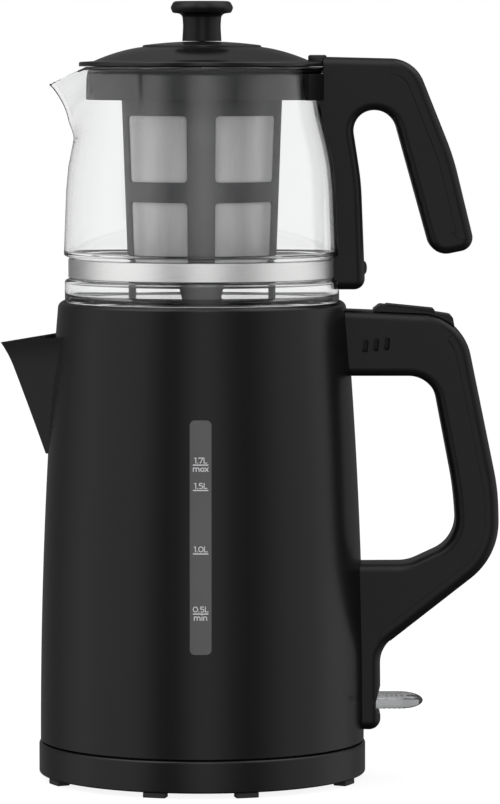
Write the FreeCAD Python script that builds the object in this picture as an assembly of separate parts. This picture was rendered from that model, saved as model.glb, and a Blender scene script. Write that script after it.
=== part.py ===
import FreeCAD, Part
import math
import os

from FreeCAD import Vector

# Automatic tea maker: an electric kettle on a power base, with a glass teapot,
# a strainer and a lid stacked on top. Millimetres. The origin lies on the kettle's
# axis in the plane of the feet, +Z up, the handles towards +X, the spouts towards -X
# and the water gauge in front, towards -Y.

# ---- clearances -------------------------------------------------------------
FIT = 0.1            # between pieces of one body
LIFT_GAP = 0.3       # between pieces that slide or lift apart
SEAM = 0.25          # the parting line of a handle's spine cover

# ---- screws -----------------------------------------------------------------
SCREW_RADIUS = 1.5
SCREW_HEAD_RADIUS = 2.9
SCREW_HEAD_HEIGHT = 1.4
SCREW_SLOT = 0.8
POST_RADIUS = 3.5

# ---- main sizes of the kettle and its base ----------------------------------
BODY_RADIUS = 77.2           # at the kettle's lower edge
BODY_TAPER = 9.0             # how much narrower the kettle is at its top
BODY_HEIGHT = 209.4
BASE_OVERHANG = 0.7          # how far the base stands out past the kettle
BASE_HEIGHT = 15.1
FOOT_HEIGHT = 2.5
BODY_GAP = 0.8               # between the rim of the base and the kettle
BASE_RADIUS = BODY_RADIUS + BASE_OVERHANG
BASE_TOP = FOOT_HEIGHT + BASE_HEIGHT
BODY_BOTTOM = BASE_TOP + BODY_GAP
BODY_TOP = BODY_BOTTOM + BODY_HEIGHT
BODY_TOP_RADIUS = BODY_RADIUS - BODY_TAPER
BODY_CURVE = BODY_HEIGHT ** 2 / (2 * BODY_TAPER)      # radius of the long taper of the side

# ---- power base -------------------------------------------------------------
FOOT_WIDTH = 11.0
FOOT_DEPTH = 6.6
FOOT_INSET = 0.7
FOOT_ANGLES = (16.5, 65.5, 114.5, 163.5)
BASE_WALL = 2.4
BASE_EDGE_ROUND = 1.6
BASE_LIP_BEVEL = 3.0
BASE_LOWER_ROUND = 0.6
DECK_DROP = 3.6
BASE_COVER_THICKNESS = 2.0
COVER_RIB_INSET = 8.9
COVER_RIB_WIDTH = 2.0
COVER_RIB_HEIGHT = 1.2
COVER_RIB_SPAN = 26.0
HUB_RADIUS = 16.0
HUB_HEIGHT = 10.0            # over the deck
HUB_SLOT_DEPTH = 11.5
COLLAR_GAP = 7.6             # between the hub and the collar round it
COLLAR_HEIGHT = 2.5
COLLAR_ROUND = 0.8
SOCKET_FLOOR_DROP = 1.0      # of the socket's floor under the collar's top
HUB_ROUND = 1.2
SOCKET_FLANGE = 7.4          # how far the socket's flange reaches past the collar
RING_RADII = (6.4, 10.9)     # middle radii of the two ring contacts
RING_SLOT = 2.4
RING_WALL = 0.8
PIN_RADIUS = 1.9
CONTACT_WALL = 0.4
CONTACT_DROP = 2.0
BASE_SCREW_INSET = 17.9
BASE_SCREW_ANGLE = 45
SOCKET_SCREW_OUT = 3.6       # from the collar's inside to the socket's screws
SOCKET_SCREW_ANGLE = 90
CORD_BORE = 2.75
GLAND_WALL = 0.75
GLAND_DEPTH = 7.5
GLAND_PROUD = 1.4
GLAND_FLANGE = 1.2

# ---- kettle body ------------------------------------------------------------
BODY_WALL = 1.2
SHOULDER_ROUND = 3.5
RIM_WIDTH = 1.7              # the kettle's turned-in rim round its mouth
RIM_DEPTH = 2.8
SEAT_DROP = 2.3
SEAT_RIM_DROP = 0.9
SEAT_RING_WALL = 1.0
SEAT_WIDTH = 8.2
SEAT_THICKNESS = 2.7
SEAT_SKIRT = 13.5
SEAT_WALL = 1.8
SEAT_ROUND = 0.8
VENT_COUNT = 16
VENT_RADIUS = 1.8

# ---- kettle underside and heating -------------------------------------------
COVER_LIFT = 0.8             # of the bottom cover over the kettle's lower edge
COVER_THICKNESS = 2.0
COVER_WALL = 1.8
COVER_WALL_HEIGHT = 6.8
STAND_RING_INSET = 7.2
STAND_RING_WIDTH = 4.0
POCKET_GAP = 1.6
POCKET_WALL = 2.0
POCKET_RIM_DROP = 0.6
POCKET_ROUND = 0.8
STAND_RING_ROUND = 0.5
CONNECTOR_INSET = 1.0        # how much smaller the plug's disc is than the hub
CONNECTOR_GAP = 2.2          # between the hub and the plug's disc
CONNECTOR_THICKNESS = 2.8
PIN_DEPTH = 8.0              # how deep the plug's pin and rings reach into the hub
CONTROL_RADIUS = 26.0
CONTROL_NECK = 3.0
CHAMBER_RISE = 26.4          # from the control's underside to the floor of the water chamber
PLATE_THICKNESS = 1.4
SPREADER_THICKNESS = 2.5
SPREADER_INSET = 15.2
SEAL_WIDTH = 2.3
SEAL_HEIGHT = 5.4
ELEMENT_INSET = 16.0
ELEMENT_RADIUS = 3.6
ELEMENT_SWEEP = 310.0
COLD_PIN_ANGLE = 1.5
COLD_PIN_LENGTH = 9.0
COLD_PIN_RADIUS = 2.4
COVER_SCREW_INSET = 20.2
COVER_SCREW_ANGLE = 30
CONTROL_POST_INSET = 6.0
CONTROL_POST_ANGLE = 90

# ---- water gauge ------------------------------------------------------------
GAUGE_WIDTH = 10.3
GAUGE_RISE = 48.6            # of its lower end over the kettle's lower edge
GAUGE_HEIGHT = 108.6
GAUGE_ROUND = 2.4
GAUGE_PANE = 1.6
GAUGE_BORDER = 3.0
GAUGE_SEAL = 1.2
GAUGE_DEPTH = 9.0
GAUGE_CASE_WALL = 1.4
GAUGE_PORT = 2.0

# ---- kettle spout -----------------------------------------------------------
SPOUT_REACH = 18.6           # of its tip past the kettle's lower edge
SPOUT_DROP = 20.3            # of its tip under the kettle's top
SPOUT_HEIGHT = 57.5
SPOUT_RIM_SLOPE = 0.13
SPOUT_FLARE = 0.37           # how far the nose leans out per height
SPOUT_LIP = 1.6              # extra lean near the tip
SPOUT_LIP_HEIGHT = 12.0
SPOUT_HALF_ANGLE = 37.5
SPOUT_NOSE = 2.5
SPOUT_WALL = 1.2
SPOUT_OVERLAP = 10.0         # how far its walls run into the kettle before they are cut
SPOUT_TRIM = 6.0             # height over its tip that the slanted rim cuts away
LEAST_ROUND = 0.4

# ---- kettle handle: X from the kettle's lower edge --------------------------
HANDLE_HALF_WIDTH = 13.0
HANDLE_ROUND = 4.6
HANDLE_ROOT_IN = 13.2
HANDLE_DROP = 4.3            # of its top under the kettle's top
HANDLE_CORNER = (46.3, -6.8, 24.6)       # Z from the kettle's top
HANDLE_BACK = (63.4, 119.6, 100.0)       # Z from the kettle's lower edge, as in the next five
HANDLE_HEEL = (64.2, 88.2, 34.0)
HANDLE_ANKLE = (7.5, 43.8, 14.0)
HANDLE_FOOT = (7.8, 4.9, 5.4)
GRIP_LOWER_BEND = (20.8, 84.4, 20.0)
GRIP_LOWER_CORNER = (44.1, 95.2, 17.0)
GRIP_BACK = (42.4, 119.6, 150.0)
GRIP_ROOT_RISE = 84.2
GRIP_UPPER_CORNER = (32.0, -35.8, 13.5)  # Z from the kettle's top
SPINE_DEPTH = 6.8
SPINE_START = (26.8, -28.8)              # Z from the kettle's top
SPINE_SLANT = (25.0, 22.0)
SPINE_END_RISE = 47.6
SPINE_END_IN = 20.0                       # of the lower end, inside the start
DUCT_DEPTH = 5.6
DUCT_HALF_WIDTH = 5.0
DUCT_WALL = 1.0
SLOT_COUNT = 3
SLOT_FIRST_OUT = 0.2
SLOT_DROP = 21.3
SLOT_PITCH = 5.1
SLOT_STEP = 0.5
SLOT_WIDTH = 2.6
SLOT_HEIGHT = 6.1
SLOT_LEAN = 5.0
SLOT_DEPTH = 7.0
HANDLE_SCREW_DROP = 30.4
HANDLE_SCREW_RISE = 69.6
HANDLE_SCREW_LENGTH = 14.0

# ---- thumb button -----------------------------------------------------------
BEZEL_OUT = 4.2              # of its near end from the kettle's lower edge
BEZEL_RISE = 2.3             # over the handle's top
BEZEL_LEAN = 3.0             # of its near end, from foot to top
BEZEL_CORNER = (41.5, -7.0, 2.4)
BEZEL_END = (42.6, -12.8)
BEZEL_BORDER = 2.4
BUTTON_START = 5.4           # from the bezel's near end
BUTTON_LENGTH = 23.6
BUTTON_BORDER = 2.4
BUTTON_PROUD = 0.3
BUTTON_SLOPE = 0.1
BUTTON_ROUND = 1.2
BUTTON_DEPTH = 6.5           # under the handle's top
SPRING_HEIGHT = 5.6
SPRING_RADIUS = 3.2
SPRING_WIRE = 0.45
SPRING_TURNS = 4
STEM_LENGTH = 2.0

# ---- switch lever -----------------------------------------------------------
LEVER_AXIS_OUT = 3.8
LEVER_AXIS_RISE = 18.4
LEVER_THICKNESS = 6.5
LEVER_LENGTH = 24.4
LEVER_INSET = 2.2            # how much narrower than the handle, on each side
LEVER_NOSE = 0.98            # rounding of its end, as a share of half its thickness
LEVER_PLAN_NOSE = 0.94       # the same from above, as a share of half its width
LEVER_PIN_RADIUS = 1.2
LEVER_PIN_PLAY = 0.05
LEVER_RIB_COUNT = 5
LEVER_RIB_START = 6.0
LEVER_RIB_PITCH = 2.6
LEVER_RIB_WIDTH = 1.2
LEVER_RIB_DEPTH = 0.8
NOTCH_BELOW = 5.2
NOTCH_ABOVE = 4.6
NOTCH_SIDE_GAP = 0.6
RECESS_DEPTH = 2.3           # of the hollow in the handle's edge round the lever
RECESS_RISE = 3.5            # of its upper end over the notch
RECESS_SLOPE = 8.0           # height of its slanting upper side
RECESS_ROUND = 6.0
RECESS_LOBE = 2.0            # rounding of the handle's foot under the lever
SENSOR_HEIGHT = 10.6
SENSOR_LIFT = 6.0
SENSOR_DEPTH = 4.8
SENSOR_HALF_WIDTH = 7.0
SENSOR_GAP = 0.8
LAMP_RADIUS = 1.6

# ---- teapot glass: Z from the pot's underside -------------------------------
POT_WALL = 2.4
POT_FOOT_TOP = 12.7
BAND_HEIGHT = 9.6
GLASS_SPLIT_RISE = 1.6       # of the plane between the glass's two nodes, over the band
BAND_INSET = 1.7             # of the band inside the foot
BAND_THICKNESS = 0.6
BAND_END_GAP = 0.3
POT_BULGE = 0.4              # of the pot's side past its foot
POT_SHOULDER_IN = 1.6
POT_SHOULDER_DROP = 31.0
POT_SHOULDER_BEND = 110.0
POT_NECK_IN = 9.4
POT_NECK_DROP = 14.5
POT_NECK_BEND = 75.0
POT_RIM_Z = 111.0
POT_RIM_FLARE = 1.8
POT_LIP_DROP = 3.6           # of the bend under the rim's lip
POT_LIP_BEND = 4.0
POT_FOOT_ROUND = 2.0
POT_FOOT_SHOULDER = (1.2, 1.0)               # drop and rounding of the foot's upper edge
POT_GROOVE_ROUND = 0.8
POT_STEP = (1.4, 1.2)                        # rise and rounding of the step over the band
POT_FLOOR_ROUND = 3.5
POT_INSIDE_ROUND = 1.5
POT_INSIDE_DROPS = (2.0, 0.8)                # of the inside's bends, from the foot's top and round the band
POT_INSIDE_STEP = 3.0
POT_INSIDE_LIP = (2.6, 3.0, 1.0)             # drop and rounding under the lip, run past it
BEAK_REACH = 6.8
BEAK_TIP_DROP = 6.6
BEAK_ROOT_DROP = 38.5
BEAK_LEAN = 0.467
BEAK_HALF_ANGLE = 41.0
BEAK_NOSE = 5.0
BEAK_RIM_SLOPE = 0.42
BEAK_OVERLAP = 14.0

# ---- teapot handle: X from the pot's side, Z from its underside or its rim ---
POT_HANDLE_HALF_WIDTH = 12.0
POT_HANDLE_ROUND = 4.4
POT_HANDLE_ROOT_IN = 10.0    # inside the neck
POT_HANDLE_RISE = 6.8        # over the rim
POT_HANDLE_CORNER = (35.0, 5.5, 17.0)        # Z from the rim, as in the two gap points
POT_GAP_OUT = (24.2, -18.5, 11.0)
POT_GAP_IN = (4.6, -18.9, 9.6)
POT_HANDLE_BEND = (53.4, 70.5, 120.0)        # Z from the underside, as in the points below
POT_HANDLE_END_OUT = (64.0, 27.1, 6.5)
POT_HANDLE_END_IN = (43.6, 22.9, 9.0)
POT_LEG_BEND = (9.8, 58.5, 120.0)
POT_LEG_FOOT = (11.8, 7.5, 5.2)
POT_SPINE_DEPTH = 7.4
POT_SPINE_START = (22.4, -4.5)               # Z from the rim
POT_SPINE_SLANT = (4.0, 20.0)
POT_SPINE_END_IN = 8.0
POT_SPINE_END_SLANT = (22.0, 20.0)
POT_SPINE_END_LIFT = 4.0
SADDLE_DROP = 1.5            # of its top under the rim
SADDLE_HEIGHT = 12.4
SADDLE_WALL = 2.6
SADDLE_ANGLE = 62.0
CLAMP_HEAD_RADIUS = 3.2
CLAMP_HEAD_IN = 3.4          # how deep the screw's head lies in the handle's leg
CLAMP_CAP_PROUD = 1.0
NUT_SIZE = 5.5
NUT_THICKNESS = 2.4

# ---- strainer ---------------------------------------------------------------
STRAINER_RIM_INSET = 0.6
STRAINER_RIM_THICKNESS = 1.6
STRAINER_RIM_ROUND = 0.7
COLLAR_WALL = 1.8
COLLAR_DEPTH = 13.9          # of the shelf under the pot's rim
SHELF_THICKNESS = 2.0
BASKET_INSET = 18.2          # inside the pot's neck
BASKET_TAPER = 3.1
BASKET_BOTTOM = 9.5
BASKET_WALL = 2.2
BASKET_LEDGE = 4.0
FRONT_RIB_ANGLE = 20.6
SIDE_RIB_ANGLE = 45.0
BASKET_TOP_RIB = 7.5
BASKET_MIDDLE_RIB = 9.4
BASKET_LOWER_RIB = 8.7
MESH_THICKNESS = 0.4
MESH_OVERLAP = 4.0
LEG_THICKNESS = 3.3
LEG_WIDTH_TOP = 21.0
LEG_WIDTH_BOTTOM = 17.5
LEG_GAP = 0.3
POUR_SLOT_COUNT = 5
POUR_SLOT_WIDTH = 4.0
POUR_SLOT_PITCH = 8.0
POUR_SLOT_END = 3.0

# ---- lid --------------------------------------------------------------------
LID_GAP = 0.3
LID_OVERHANG = 0.3           # past the pot's rim
BRIM_THICKNESS = 2.2
BRIM_WIDTH = 7.0
BRIM_BEVEL = (0.8, 0.6)
DOME_RISE = 6.4
DOME_BOW = 0.9
DOME_FOOT = 0.4
DOME_SEAT_WIDTH = 4.0
DISC_RADIUS = 30.0
DISC_BEVEL = 0.6
DISC_STEP = 1.2
DISC_RISE = 2.1
LID_WALL = 2.2
SKIRT_DEPTH = 8.5
SKIRT_WALL = 1.8
TAB_START_IN = 7.9
TAB_OVERHANG = 0.7
TAB_RISE = 3.3
TAB_HALF_WIDTH = 9.0
TAB_ROUND = 1.0
STEM_HEIGHT = 12.9
STEM_RADIUS = 8.9
STEM_FLARE = 0.8
KNOB_LOWER = 2.5
KNOB_UPPER = 3.6
KNOB_RADIUS = 14.5
KNOB_FLAT = 11.0
KNOB_EDGE = (0.4, 0.8)       # inset and rounding of its lower edge
KNOB_SIDE_ROUND = 1.2
KNOB_TOP_ROUND = 2.0
STEM_TOP_ROUND = 2.0
KNOB_BORE_DEPTH = 12.0
KNOB_SCREW_HEAD = 4.0

# ---- values that follow -----------------------------------------------------
BASE_INSIDE = BASE_RADIUS - BASE_WALL
DECK_TOP = BASE_TOP - DECK_DROP
DECK_UNDER = DECK_TOP - BASE_WALL
BASE_COVER_TOP = FOOT_HEIGHT + BASE_COVER_THICKNESS
BASE_SCREW_CIRCLE = BASE_RADIUS - BASE_SCREW_INSET
HUB_TOP = DECK_TOP + HUB_HEIGHT
HUB_SLOT_FLOOR = HUB_TOP - HUB_SLOT_DEPTH
COLLAR_RADIUS = HUB_RADIUS + COLLAR_GAP
SOCKET_SCREW_CIRCLE = COLLAR_RADIUS + SOCKET_SCREW_OUT
CORD_HEIGHT = BASE_COVER_TOP + CORD_BORE + GLAND_WALL

MOUTH_RADIUS = BODY_TOP_RADIUS - RIM_WIDTH
SEAT_HEIGHT = BODY_TOP - SEAT_DROP
POT_FOOT_RADIUS = MOUTH_RADIUS - SEAT_RING_WALL - LIFT_GAP
SEAT_INNER_RADIUS = POT_FOOT_RADIUS - SEAT_WIDTH

COVER_FLOOR = BODY_BOTTOM + COVER_LIFT
STAND_RING_RADIUS = BODY_RADIUS - STAND_RING_INSET
POCKET_RADIUS = HUB_RADIUS + POCKET_GAP
CONNECTOR_RADIUS = HUB_RADIUS - CONNECTOR_INSET
CONNECTOR_FLOOR = HUB_TOP + CONNECTOR_GAP
CONNECTOR_TOP = CONNECTOR_FLOOR + CONNECTOR_THICKNESS
PIN_TIP = HUB_TOP - PIN_DEPTH
CONTROL_BOTTOM = CONNECTOR_TOP + CONTROL_NECK
CHAMBER_FLOOR = CONTROL_BOTTOM + CHAMBER_RISE
PLATE_UNDER = CHAMBER_FLOOR - PLATE_THICKNESS
SPREADER_UNDER = PLATE_UNDER - SPREADER_THICKNESS
SPREADER_RADIUS = BODY_RADIUS - SPREADER_INSET
ELEMENT_RING = SPREADER_RADIUS - ELEMENT_INSET
ELEMENT_Z = SPREADER_UNDER - ELEMENT_RADIUS
CONTROL_TOP = ELEMENT_Z - ELEMENT_RADIUS
COVER_SCREW_CIRCLE = BODY_RADIUS - COVER_SCREW_INSET
CONTROL_POST_CIRCLE = CONTROL_RADIUS - CONTROL_POST_INSET

GAUGE_BOTTOM = BODY_BOTTOM + GAUGE_RISE
GAUGE_TOP = GAUGE_BOTTOM + GAUGE_HEIGHT
SPOUT_TIP_X = -BODY_RADIUS - SPOUT_REACH
SPOUT_TIP_Z = BODY_TOP - SPOUT_DROP
SPOUT_ROOT_Z = SPOUT_TIP_Z - SPOUT_HEIGHT

HANDLE_ROOT_X = BODY_RADIUS - HANDLE_ROOT_IN
HANDLE_TOP = BODY_TOP - HANDLE_DROP
HANDLE_FOOT_Z = BODY_BOTTOM + HANDLE_FOOT[1]
HANDLE_SCREW_HEIGHTS = (BODY_TOP - HANDLE_SCREW_DROP, BODY_BOTTOM + HANDLE_SCREW_RISE)
BEZEL_START_X = BODY_RADIUS + BEZEL_OUT
BEZEL_TOP = HANDLE_TOP + BEZEL_RISE
BEZEL_HALF_WIDTH = HANDLE_HALF_WIDTH - BEZEL_BORDER
BUTTON_START_X = BEZEL_START_X + BUTTON_START
BUTTON_END_X = BUTTON_START_X + BUTTON_LENGTH
BUTTON_HALF_WIDTH = BEZEL_HALF_WIDTH - BUTTON_BORDER
BUTTON_BOTTOM = HANDLE_TOP - BUTTON_DEPTH
BUTTON_WELL_FLOOR = BUTTON_BOTTOM - SPRING_HEIGHT
LEVER_AXIS_X = BODY_RADIUS + LEVER_AXIS_OUT
LEVER_AXIS_Z = BODY_BOTTOM + LEVER_AXIS_RISE
LEVER_END_X = LEVER_AXIS_X + LEVER_LENGTH
LEVER_HALF_WIDTH = HANDLE_HALF_WIDTH - LEVER_INSET
NOTCH_BOTTOM = LEVER_AXIS_Z - NOTCH_BELOW
NOTCH_TOP = LEVER_AXIS_Z + NOTCH_ABOVE
SENSOR_BOTTOM = NOTCH_TOP + SENSOR_LIFT
SENSOR_TOP = SENSOR_BOTTOM + SENSOR_HEIGHT

BAND_TOP = POT_FOOT_TOP + BAND_HEIGHT
BAND_RADIUS = POT_FOOT_RADIUS - BAND_INSET
POT_BAND_GROOVE = BAND_RADIUS - BAND_THICKNESS - FIT
POT_RADIUS = POT_FOOT_RADIUS + POT_BULGE
POT_NECK_RADIUS = POT_RADIUS - POT_NECK_IN
POT_NECK_Z = POT_RIM_Z - POT_NECK_DROP
POT_RIM_RADIUS = POT_NECK_RADIUS + POT_RIM_FLARE
POT_SHOULDER = (POT_RADIUS - POT_SHOULDER_IN, POT_NECK_Z - POT_SHOULDER_DROP, POT_SHOULDER_BEND)
BEAK_TIP_X = -POT_RADIUS - BEAK_REACH
BEAK_TIP_Z = POT_RIM_Z - BEAK_TIP_DROP
BEAK_ROOT_Z = POT_RIM_Z - BEAK_ROOT_DROP
POT_HANDLE_ROOT_X = POT_NECK_RADIUS - POT_HANDLE_ROOT_IN
POT_HANDLE_TOP = POT_RIM_Z + POT_HANDLE_RISE
POT_LEG_FOOT_X = POT_RADIUS + POT_LEG_FOOT[0]
CLAMP_HEAD_X = POT_LEG_FOOT_X - CLAMP_HEAD_IN
CLAMP_HEIGHT = (POT_FOOT_TOP + BAND_TOP) / 2
SADDLE_TOP = POT_RIM_Z - SADDLE_DROP
SADDLE_BOTTOM = SADDLE_TOP - SADDLE_HEIGHT

STRAINER_RADIUS = POT_NECK_RADIUS - POT_WALL - LIFT_GAP
STRAINER_RIM_RADIUS = POT_RIM_RADIUS - STRAINER_RIM_INSET
STRAINER_TOP = POT_RIM_Z + STRAINER_RIM_THICKNESS
SHELF_Z = POT_RIM_Z - COLLAR_DEPTH
BASKET_TOP_RADIUS = POT_NECK_RADIUS - BASKET_INSET
BASKET_BOTTOM_RADIUS = BASKET_TOP_RADIUS - BASKET_TAPER
UPPER_WINDOW_TOP = SHELF_Z - BASKET_TOP_RIB
LOWER_WINDOW_BOTTOM = BASKET_BOTTOM + BASKET_LOWER_RIB
WINDOW_HEIGHT = (UPPER_WINDOW_TOP - LOWER_WINDOW_BOTTOM - BASKET_MIDDLE_RIB) / 2
WINDOW_ROWS = (
    (UPPER_WINDOW_TOP - WINDOW_HEIGHT, UPPER_WINDOW_TOP),
    (LOWER_WINDOW_BOTTOM, LOWER_WINDOW_BOTTOM + WINDOW_HEIGHT),
)

LID_RADIUS = POT_RIM_RADIUS + LID_OVERHANG
BRIM_BOTTOM = STRAINER_TOP + LID_GAP
BRIM_TOP = BRIM_BOTTOM + BRIM_THICKNESS
DOME_RADIUS = LID_RADIUS - BRIM_WIDTH
DOME_EDGE = (DISC_RADIUS + DISC_BEVEL, BRIM_TOP + DOME_RISE)
DISC_EDGE_Z = DOME_EDGE[1] + DISC_STEP
DOME_TOP = DISC_EDGE_Z + DISC_RISE
TAB_START_X = LID_RADIUS - TAB_START_IN
TAB_END_X = LID_RADIUS + TAB_OVERHANG
TAB_TOP = BRIM_TOP + TAB_RISE
KNOB_UNDER_Z = DOME_TOP + STEM_HEIGHT
KNOB_WIDEST_Z = KNOB_UNDER_Z + KNOB_LOWER
KNOB_TOP = KNOB_WIDEST_Z + KNOB_UPPER

LONG = 2 * (BODY_HEIGHT + BODY_RADIUS)    # past the whole object in any direction
OVERRUN = BODY_WALL                       # how far a cut runs past a surface

UP = Vector(0, 0, 1)
ORIGIN = Vector(0, 0, 0)
pieces = {}


# ---- drawing helpers --------------------------------------------------------
def rounded_edges(points):
    """Edges of a closed outline; a point is (a, b), or (a, b, radius) where its corner is round."""
    spots = [Vector(point[0], point[1], 0) for point in points]
    arcs = []
    for index, point in enumerate(points):
        here = spots[index]
        if len(point) == 2:
            arcs.append((here, None, here))
            continue
        back = (spots[index - 1] - here).normalize()
        ahead = (spots[(index + 1) % len(points)] - here).normalize()
        half = back.getAngle(ahead) / 2
        reach = point[2] / math.tan(half)
        inward = (back + ahead).normalize() * (point[2] / math.sin(half) - point[2])
        arcs.append((here + back * reach, here + inward, here + ahead * reach))
    edges = []
    for index, (start, middle, end) in enumerate(arcs):
        if middle is not None:
            edges.append(Part.Arc(start, middle, end).toShape())
        following = arcs[(index + 1) % len(arcs)][0]
        if (following - end).Length > 1e-6:
            edges.append(Part.makeLine(end, following))
    return edges


def flat_face(points, z=0.0):
    """A face in the plane of a height, from an outline of (x, y) points."""
    face = Part.Face(Part.Wire(rounded_edges(points)))
    return face.translate(Vector(0, 0, z))


def upright_face(points):
    """A face in the XZ plane, from an outline of (x, z) points."""
    face = Part.Face(Part.Wire(rounded_edges(points)))
    return face.rotate(ORIGIN, Vector(1, 0, 0), 90)


def turned(points, angle=360.0):
    """A solid of revolution about Z from an outline of (radius, z) points."""
    return upright_face(points).revolve(ORIGIN, UP, angle)


def slab(points, half_width):
    """An outline of (x, z) points, made thick along Y on both sides of the middle plane."""
    face = upright_face(points).translate(Vector(0, -half_width, 0))
    return face.extrude(Vector(0, 2 * half_width, 0))


def prism(points, bottom, top):
    """An outline of (x, y) points, made thick from one height to another."""
    return flat_face(points, bottom).extrude(Vector(0, 0, top - bottom))


def box(x_range, y_range, z_range):
    """A block between three pairs of limits."""
    size = [limits[1] - limits[0] for limits in (x_range, y_range, z_range)]
    return Part.makeBox(size[0], size[1], size[2], Vector(x_range[0], y_range[0], z_range[0]))


def cylinder(radius, bottom, top, x=0.0, y=0.0):
    """An upright cylinder."""
    return Part.makeCylinder(radius, top - bottom, Vector(x, y, bottom))


def tube(outer, inner, bottom, top):
    """An upright ring about the axis of the kettle."""
    return cylinder(outer, bottom, top).cut(cylinder(inner, bottom - OVERRUN, top + OVERRUN))


def rod(radius, start_x, end_x, z, y=0.0):
    """A cylinder along X."""
    return Part.makeCylinder(radius, end_x - start_x, Vector(start_x, y, z), Vector(1, 0, 0))


def around(shape, count, first=0.0):
    """Copies of a shape, evenly spaced about Z."""
    copies = []
    for index in range(count):
        copies.append(shape.copy().rotate(ORIGIN, UP, first + index * 360.0 / count))
    return copies


def sector(inner, outer, bottom, top, middle, width):
    """A piece of a ring: its middle and width are angles about Z, counted from +X."""
    points = [(inner, bottom), (outer, bottom), (outer, top), (inner, top)]
    return turned(points, width).rotate(ORIGIN, UP, middle - width / 2)


def joined(shapes):
    """One solid from overlapping or touching ones."""
    whole = shapes[0]
    for shape in shapes[1:]:
        whole = whole.fuse(shape)
    return whole.removeSplitter()


def without(shape, cutters):
    """A shape less each of the cutters."""
    for cutter in cutters:
        shape = shape.cut(cutter)
    return shape


def keep(name, shape):
    """Note a finished piece under its node name."""
    pieces[name] = shape


def stack(name, shape):
    """Note a finished piece of the teapot, strainer or lid, raised from Z 0 to the kettle's seat."""
    keep(name, shape.translate(Vector(0, 0, SEAT_HEIGHT)))


def long_edges(shape, half_width, least_x):
    """Edges that lie in the two side planes of a slab, right of a given X."""
    found = []
    for edge in shape.Edges:
        box_of = edge.BoundBox
        on_side = abs(abs(box_of.YMin) - half_width) < 1e-4 and box_of.YLength < 1e-4
        if on_side and box_of.XMax > least_x + 1e-3:
            found.append(edge)
    return found


def screw(length, radius=SCREW_RADIUS, head=SCREW_HEAD_RADIUS):
    """A pan-head screw that points up, its head below Z 0, with a crossed drive."""
    body = cylinder(radius, 0, length)
    cap = Part.makeCylinder(head, SCREW_HEAD_HEIGHT, Vector(0, 0, -SCREW_HEAD_HEIGHT))
    arm = head * 0.6
    half = SCREW_SLOT / 2
    floor = -SCREW_HEAD_HEIGHT + SCREW_HEAD_HEIGHT / 2
    lengthwise = box((-arm, arm), (-half, half), (-LONG, floor))
    crosswise = box((-half, half), (-arm, arm), (-LONG, floor))
    return body.fuse(cap.cut(lengthwise).cut(crosswise)).removeSplitter()


# ---- power base -------------------------------------------------------------
def make_base_housing():
    """The dished top of the power base, with its screw posts."""
    collar_top = DECK_TOP + COLLAR_HEIGHT
    collar_out = COLLAR_RADIUS + BASE_WALL
    profile = [
        (BASE_INSIDE, FOOT_HEIGHT),
        (BASE_RADIUS, FOOT_HEIGHT, BASE_LOWER_ROUND),
        (BASE_RADIUS, BASE_TOP, BASE_EDGE_ROUND),
        (BASE_INSIDE, BASE_TOP),
        (BASE_INSIDE - BASE_LIP_BEVEL, DECK_TOP),
        (collar_out, DECK_TOP),
        (collar_out, collar_top, COLLAR_ROUND),
        (COLLAR_RADIUS, collar_top),
        (COLLAR_RADIUS, DECK_UNDER),
        (BASE_INSIDE, DECK_UNDER),
    ]
    housing = turned(profile)
    post = cylinder(POST_RADIUS, BASE_COVER_TOP, DECK_UNDER + OVERRUN, BASE_SCREW_CIRCLE)
    hole = cylinder(SCREW_RADIUS, 0, DECK_UNDER, BASE_SCREW_CIRCLE)
    housing = joined([housing] + around(post, 4, BASE_SCREW_ANGLE))
    socket_hole = cylinder(SCREW_RADIUS, 0, socket_screw_tip(), SOCKET_SCREW_CIRCLE)
    cord_hole = cord_cylinder(CORD_BORE + GLAND_WALL, BASE_INSIDE - BASE_WALL, BASE_RADIUS + OVERRUN)
    return without(housing, around(hole, 4, BASE_SCREW_ANGLE) + around(socket_hole, 3, SOCKET_SCREW_ANGLE) + [cord_hole])


def cord_cylinder(radius, near, far):
    """A cylinder along +Y at the height of the cord's way in."""
    return Part.makeCylinder(radius, far - near, Vector(0, near, CORD_HEIGHT), Vector(0, 1, 0))


def make_base_cover():
    """The flat plate that closes the power base from below."""
    cover = cylinder(BASE_INSIDE - FIT, FOOT_HEIGHT, BASE_COVER_TOP)
    rib_out = BASE_RADIUS - COVER_RIB_INSET
    rib = sector(rib_out - COVER_RIB_WIDTH, rib_out, FOOT_HEIGHT - COVER_RIB_HEIGHT, BASE_COVER_TOP, 0, COVER_RIB_SPAN)
    cover = joined([cover] + around(rib, 4, 90))
    shank = cylinder(SCREW_RADIUS, 0, BASE_COVER_TOP + OVERRUN, BASE_SCREW_CIRCLE)
    sink = cylinder(SCREW_HEAD_RADIUS + FIT, 0, FOOT_HEIGHT + SCREW_HEAD_HEIGHT, BASE_SCREW_CIRCLE)
    return without(cover, around(shank, 4, BASE_SCREW_ANGLE) + around(sink, 4, BASE_SCREW_ANGLE))


def make_base_screws():
    """Four screws that hold the bottom cover to the posts."""
    one = screw(DECK_UNDER - FOOT_HEIGHT - SCREW_HEAD_HEIGHT - OVERRUN)
    one.translate(Vector(BASE_SCREW_CIRCLE, 0, FOOT_HEIGHT + SCREW_HEAD_HEIGHT))
    return Part.makeCompound(around(one, 4, BASE_SCREW_ANGLE))


def make_base_feet():
    """Eight rubber feet near the rim, four on each side."""
    width = math.degrees(FOOT_WIDTH / BASE_RADIUS)
    feet = []
    for angle in FOOT_ANGLES:
        for side in (-1, 1):
            middle = -90 + side * angle
            outer = BASE_RADIUS - FOOT_INSET
            feet.append(sector(outer - FOOT_DEPTH, outer, 0, FOOT_HEIGHT, middle, width))
    return Part.makeCompound(feet)


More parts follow.
